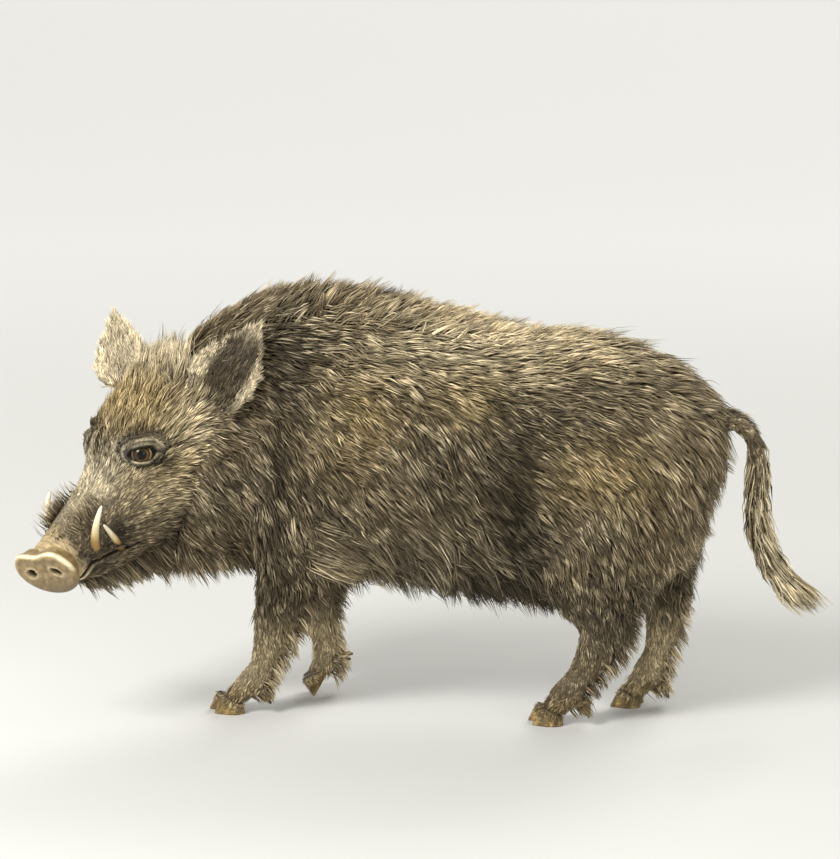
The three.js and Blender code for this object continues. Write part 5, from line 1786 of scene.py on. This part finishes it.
# bristles over the eyes and on the sides of the muzzle
browTufts = dict(length=24, count=460, width=1.8, rings=2)
whiskerTufts = dict(length=42, count=420, width=1.5, stray=0.3)
brow = np.exp(-((eyeLocal[:, 0] / 40) ** 2 + ((eyeLocal[:, 1] - 52) / 8) ** 2))
brow = brow * (eyeLocal[:, 2] > -30) * share["head"]
standingTufts("brow", coatOn, brow, headWay(-0.6, 0, 0.8), headWay(-1, 0, 0.3), **browTufts)
whisker = np.exp(-(((head[:, 0] - 352) / 34) ** 2 + ((head[:, 2] + 6) / 26) ** 2)) * (np.abs(head[:, 1]) > 30)
whisker = whisker * share["head"]
standingTufts("whiskers", coatOn, whisker, headWay(0.15, 0, 1), headWay(-0.4, 0, 1), **whiskerTufts)

# short hair round the dock, and the tail's tuft: long strands that leave the dock one after the other
# and follow its curve, spread more widely at their tips
dockTufts = dict(length=30, count=1200, width=2.6, rings=2, every=9, clump=0.4)
tuft = dict(count=2800, width=3.2, spread=36, flare=46, rings=3, every=12, clump=0.5)
tailTones = dict(pale=0.44, cream=0.38, dark=0.18)  # each tone's share of the strands
count = tuft["count"]
leave = rng.random(count) ** 0.8 * 0.56 + 0.24
reach = np.minimum(leave + mix(0.1, 0.2, rng.random(count)), 1.0)
reach = np.where(leave > 0.7, mix(0.86, 1, rng.random(count)), reach)
turns = rng.random(count) * 2 * math.pi
steps = np.arange(tuft["rings"] + 1) / tuft["rings"]
at = mix(leave[:, None], reach[:, None], steps)
away = mix(tuft["spread"], tuft["flare"], softStep(0.6, 1, at)) * np.sin(steps * 1.8)
away = away * mix(0.1, 1, rng.random(count) ** 1.4)[:, None]
ahead, across = np.cos(turns)[:, None], np.sin(turns)[:, None]
path = curvePoint(at.ravel()).reshape(*at.shape, 3)
path += np.stack([ahead * away, 0.5 * across * away, 0.4 * ahead * away], axis=-1)
standingTufts("dock", coatOn, share["tail"] * softStep(0.3, 0.6, share["tail"]),
              lambda made: unit(made["lie"] + made["normal"] * 0.5), lambda made: made["lie"], **dockTufts)
tones = np.stack([coatTones[name] for name in tailTones])
made = dict(root=path[:, 0], normal=np.tile([0.0, 1.0, 0.0], (count, 1)),
            base=tones[rng.choice(len(tones), count, p=tuple(tailTones.values()))],
            unwrap=islandPlace(np.full(count, 2), np.column_stack([leave / 0.74, turns / 6.3]) % 1))
finishTufts("tail", made, path, np.full(count, tuft["width"]), every=tuft["every"], clump=tuft["clump"])
print("coat:", sum(size for _, size in tuftCount.values()), "triangles", tuftCount)


# Stage, light and camera. The floor is flat as far as the bend, where it rises all round to hide its
# own edge. Near and far are its colours under the boar and away from it, in metres from its middle.
stageForm = dict(near="d2d1cc", far="efeeea", fade=(1.0, 8.0), reach=45, bend=33, rim=43, rise=5, cells=50,
                 world="f1f1ee", strength=0.75)
away = addNode("pale floor", "VectorMath", {0: placeOn("pale floor")}, operation="LENGTH").outputs["Value"]
fade = dict(zip(("From Min", "From Max"), stageForm["fade"]))
away = addNode("pale floor", "MapRange", {"Value": away, **fade}, interpolation_type="SMOOTHSTEP")
floorStops = [(0.0, stageForm["near"]), (1.0, stageForm["far"])]
setInput("pale floor", "Base Color", ramp("pale floor", away.outputs[0], floorStops))
cells = stageForm["cells"]
spots = np.linspace(-stageForm["reach"], stageForm["reach"], cells + 1)
acrossFloor, alongFloor = (grid.ravel() for grid in np.meshgrid(spots, spots))
rise = stageForm["rise"] * softStep(stageForm["bend"], stageForm["rim"], np.hypot(acrossFloor, alongFloor))
starts = [row * (cells + 1) + column for row in range(cells) for column in range(cells)]
floorFaces = [(i, i + 1, i + cells + 2, i + cells + 1) for i in starts]
floorMesh = bpy.data.meshes.new("floor")
floorMesh.from_pydata(np.column_stack([acrossFloor, alongFloor, rise]).tolist(), [], floorFaces)
floorMesh.polygons.foreach_set("use_smooth", [True] * len(floorFaces))
floorMesh.materials.append(materials["pale floor"])
floor = newObject("floor", floorMesh)

world = bpy.data.worlds.new("studio")
world.use_nodes = True
background = world.node_tree.nodes["Background"].inputs
background["Color"].default_value = (*tone(stageForm["world"]), 1)
background["Strength"].default_value = stageForm["strength"]
bpy.context.scene.world = world
bpy.context.scene.view_settings.view_transform = "Standard"

# each light shines towards the boar's middle: a near panel, or a far one with a spread in degrees
lights = [
    dict(name="key", at=(-2.6, -3.0, 3.6), size=1.8, watts=235),
    dict(name="fill", at=(3.4, -3.4, 1.9), spread=30, strength=0.6),
    dict(name="back", at=(1.6, 3.4, 3.2), spread=27, strength=1.3),
]
middle = Vector(inFrame([0, 0, 520]))
for light in lights:
    lamp = bpy.data.lights.new(light["name"], "AREA" if "size" in light else "SUN")
    if "size" in light:
        lamp.energy = light["watts"]
        lamp.size = light["size"]
    else:
        lamp.energy = light["strength"]
        lamp.angle = math.radians(light["spread"])
    place = newObject(light["name"], lamp)
    place.location = light["at"]
    place.rotation_euler = (middle - place.location).to_track_quat("-Z", "Y").to_euler()

# aim is in the boar's millimetres, the angles in degrees, the distance in metres
view = dict(aim=(0, 0, 562.8), azimuth=5, elevation=11, distance=5.58, lens=120)
lens = bpy.data.cameras.new("camera")
lens.lens = view["lens"]
camera = newObject("camera", lens)
turn, rise = math.radians(view["azimuth"]), math.radians(view["elevation"])
back = Vector((math.sin(turn) * math.cos(rise), -math.cos(turn) * math.cos(rise), math.sin(rise)))
camera.location = Vector(inFrame(view["aim"])) + back * view["distance"]
camera.rotation_euler = back.to_track_quat("Z", "Y").to_euler()
bpy.context.scene.camera = camera
print("stage, lights and camera in place")
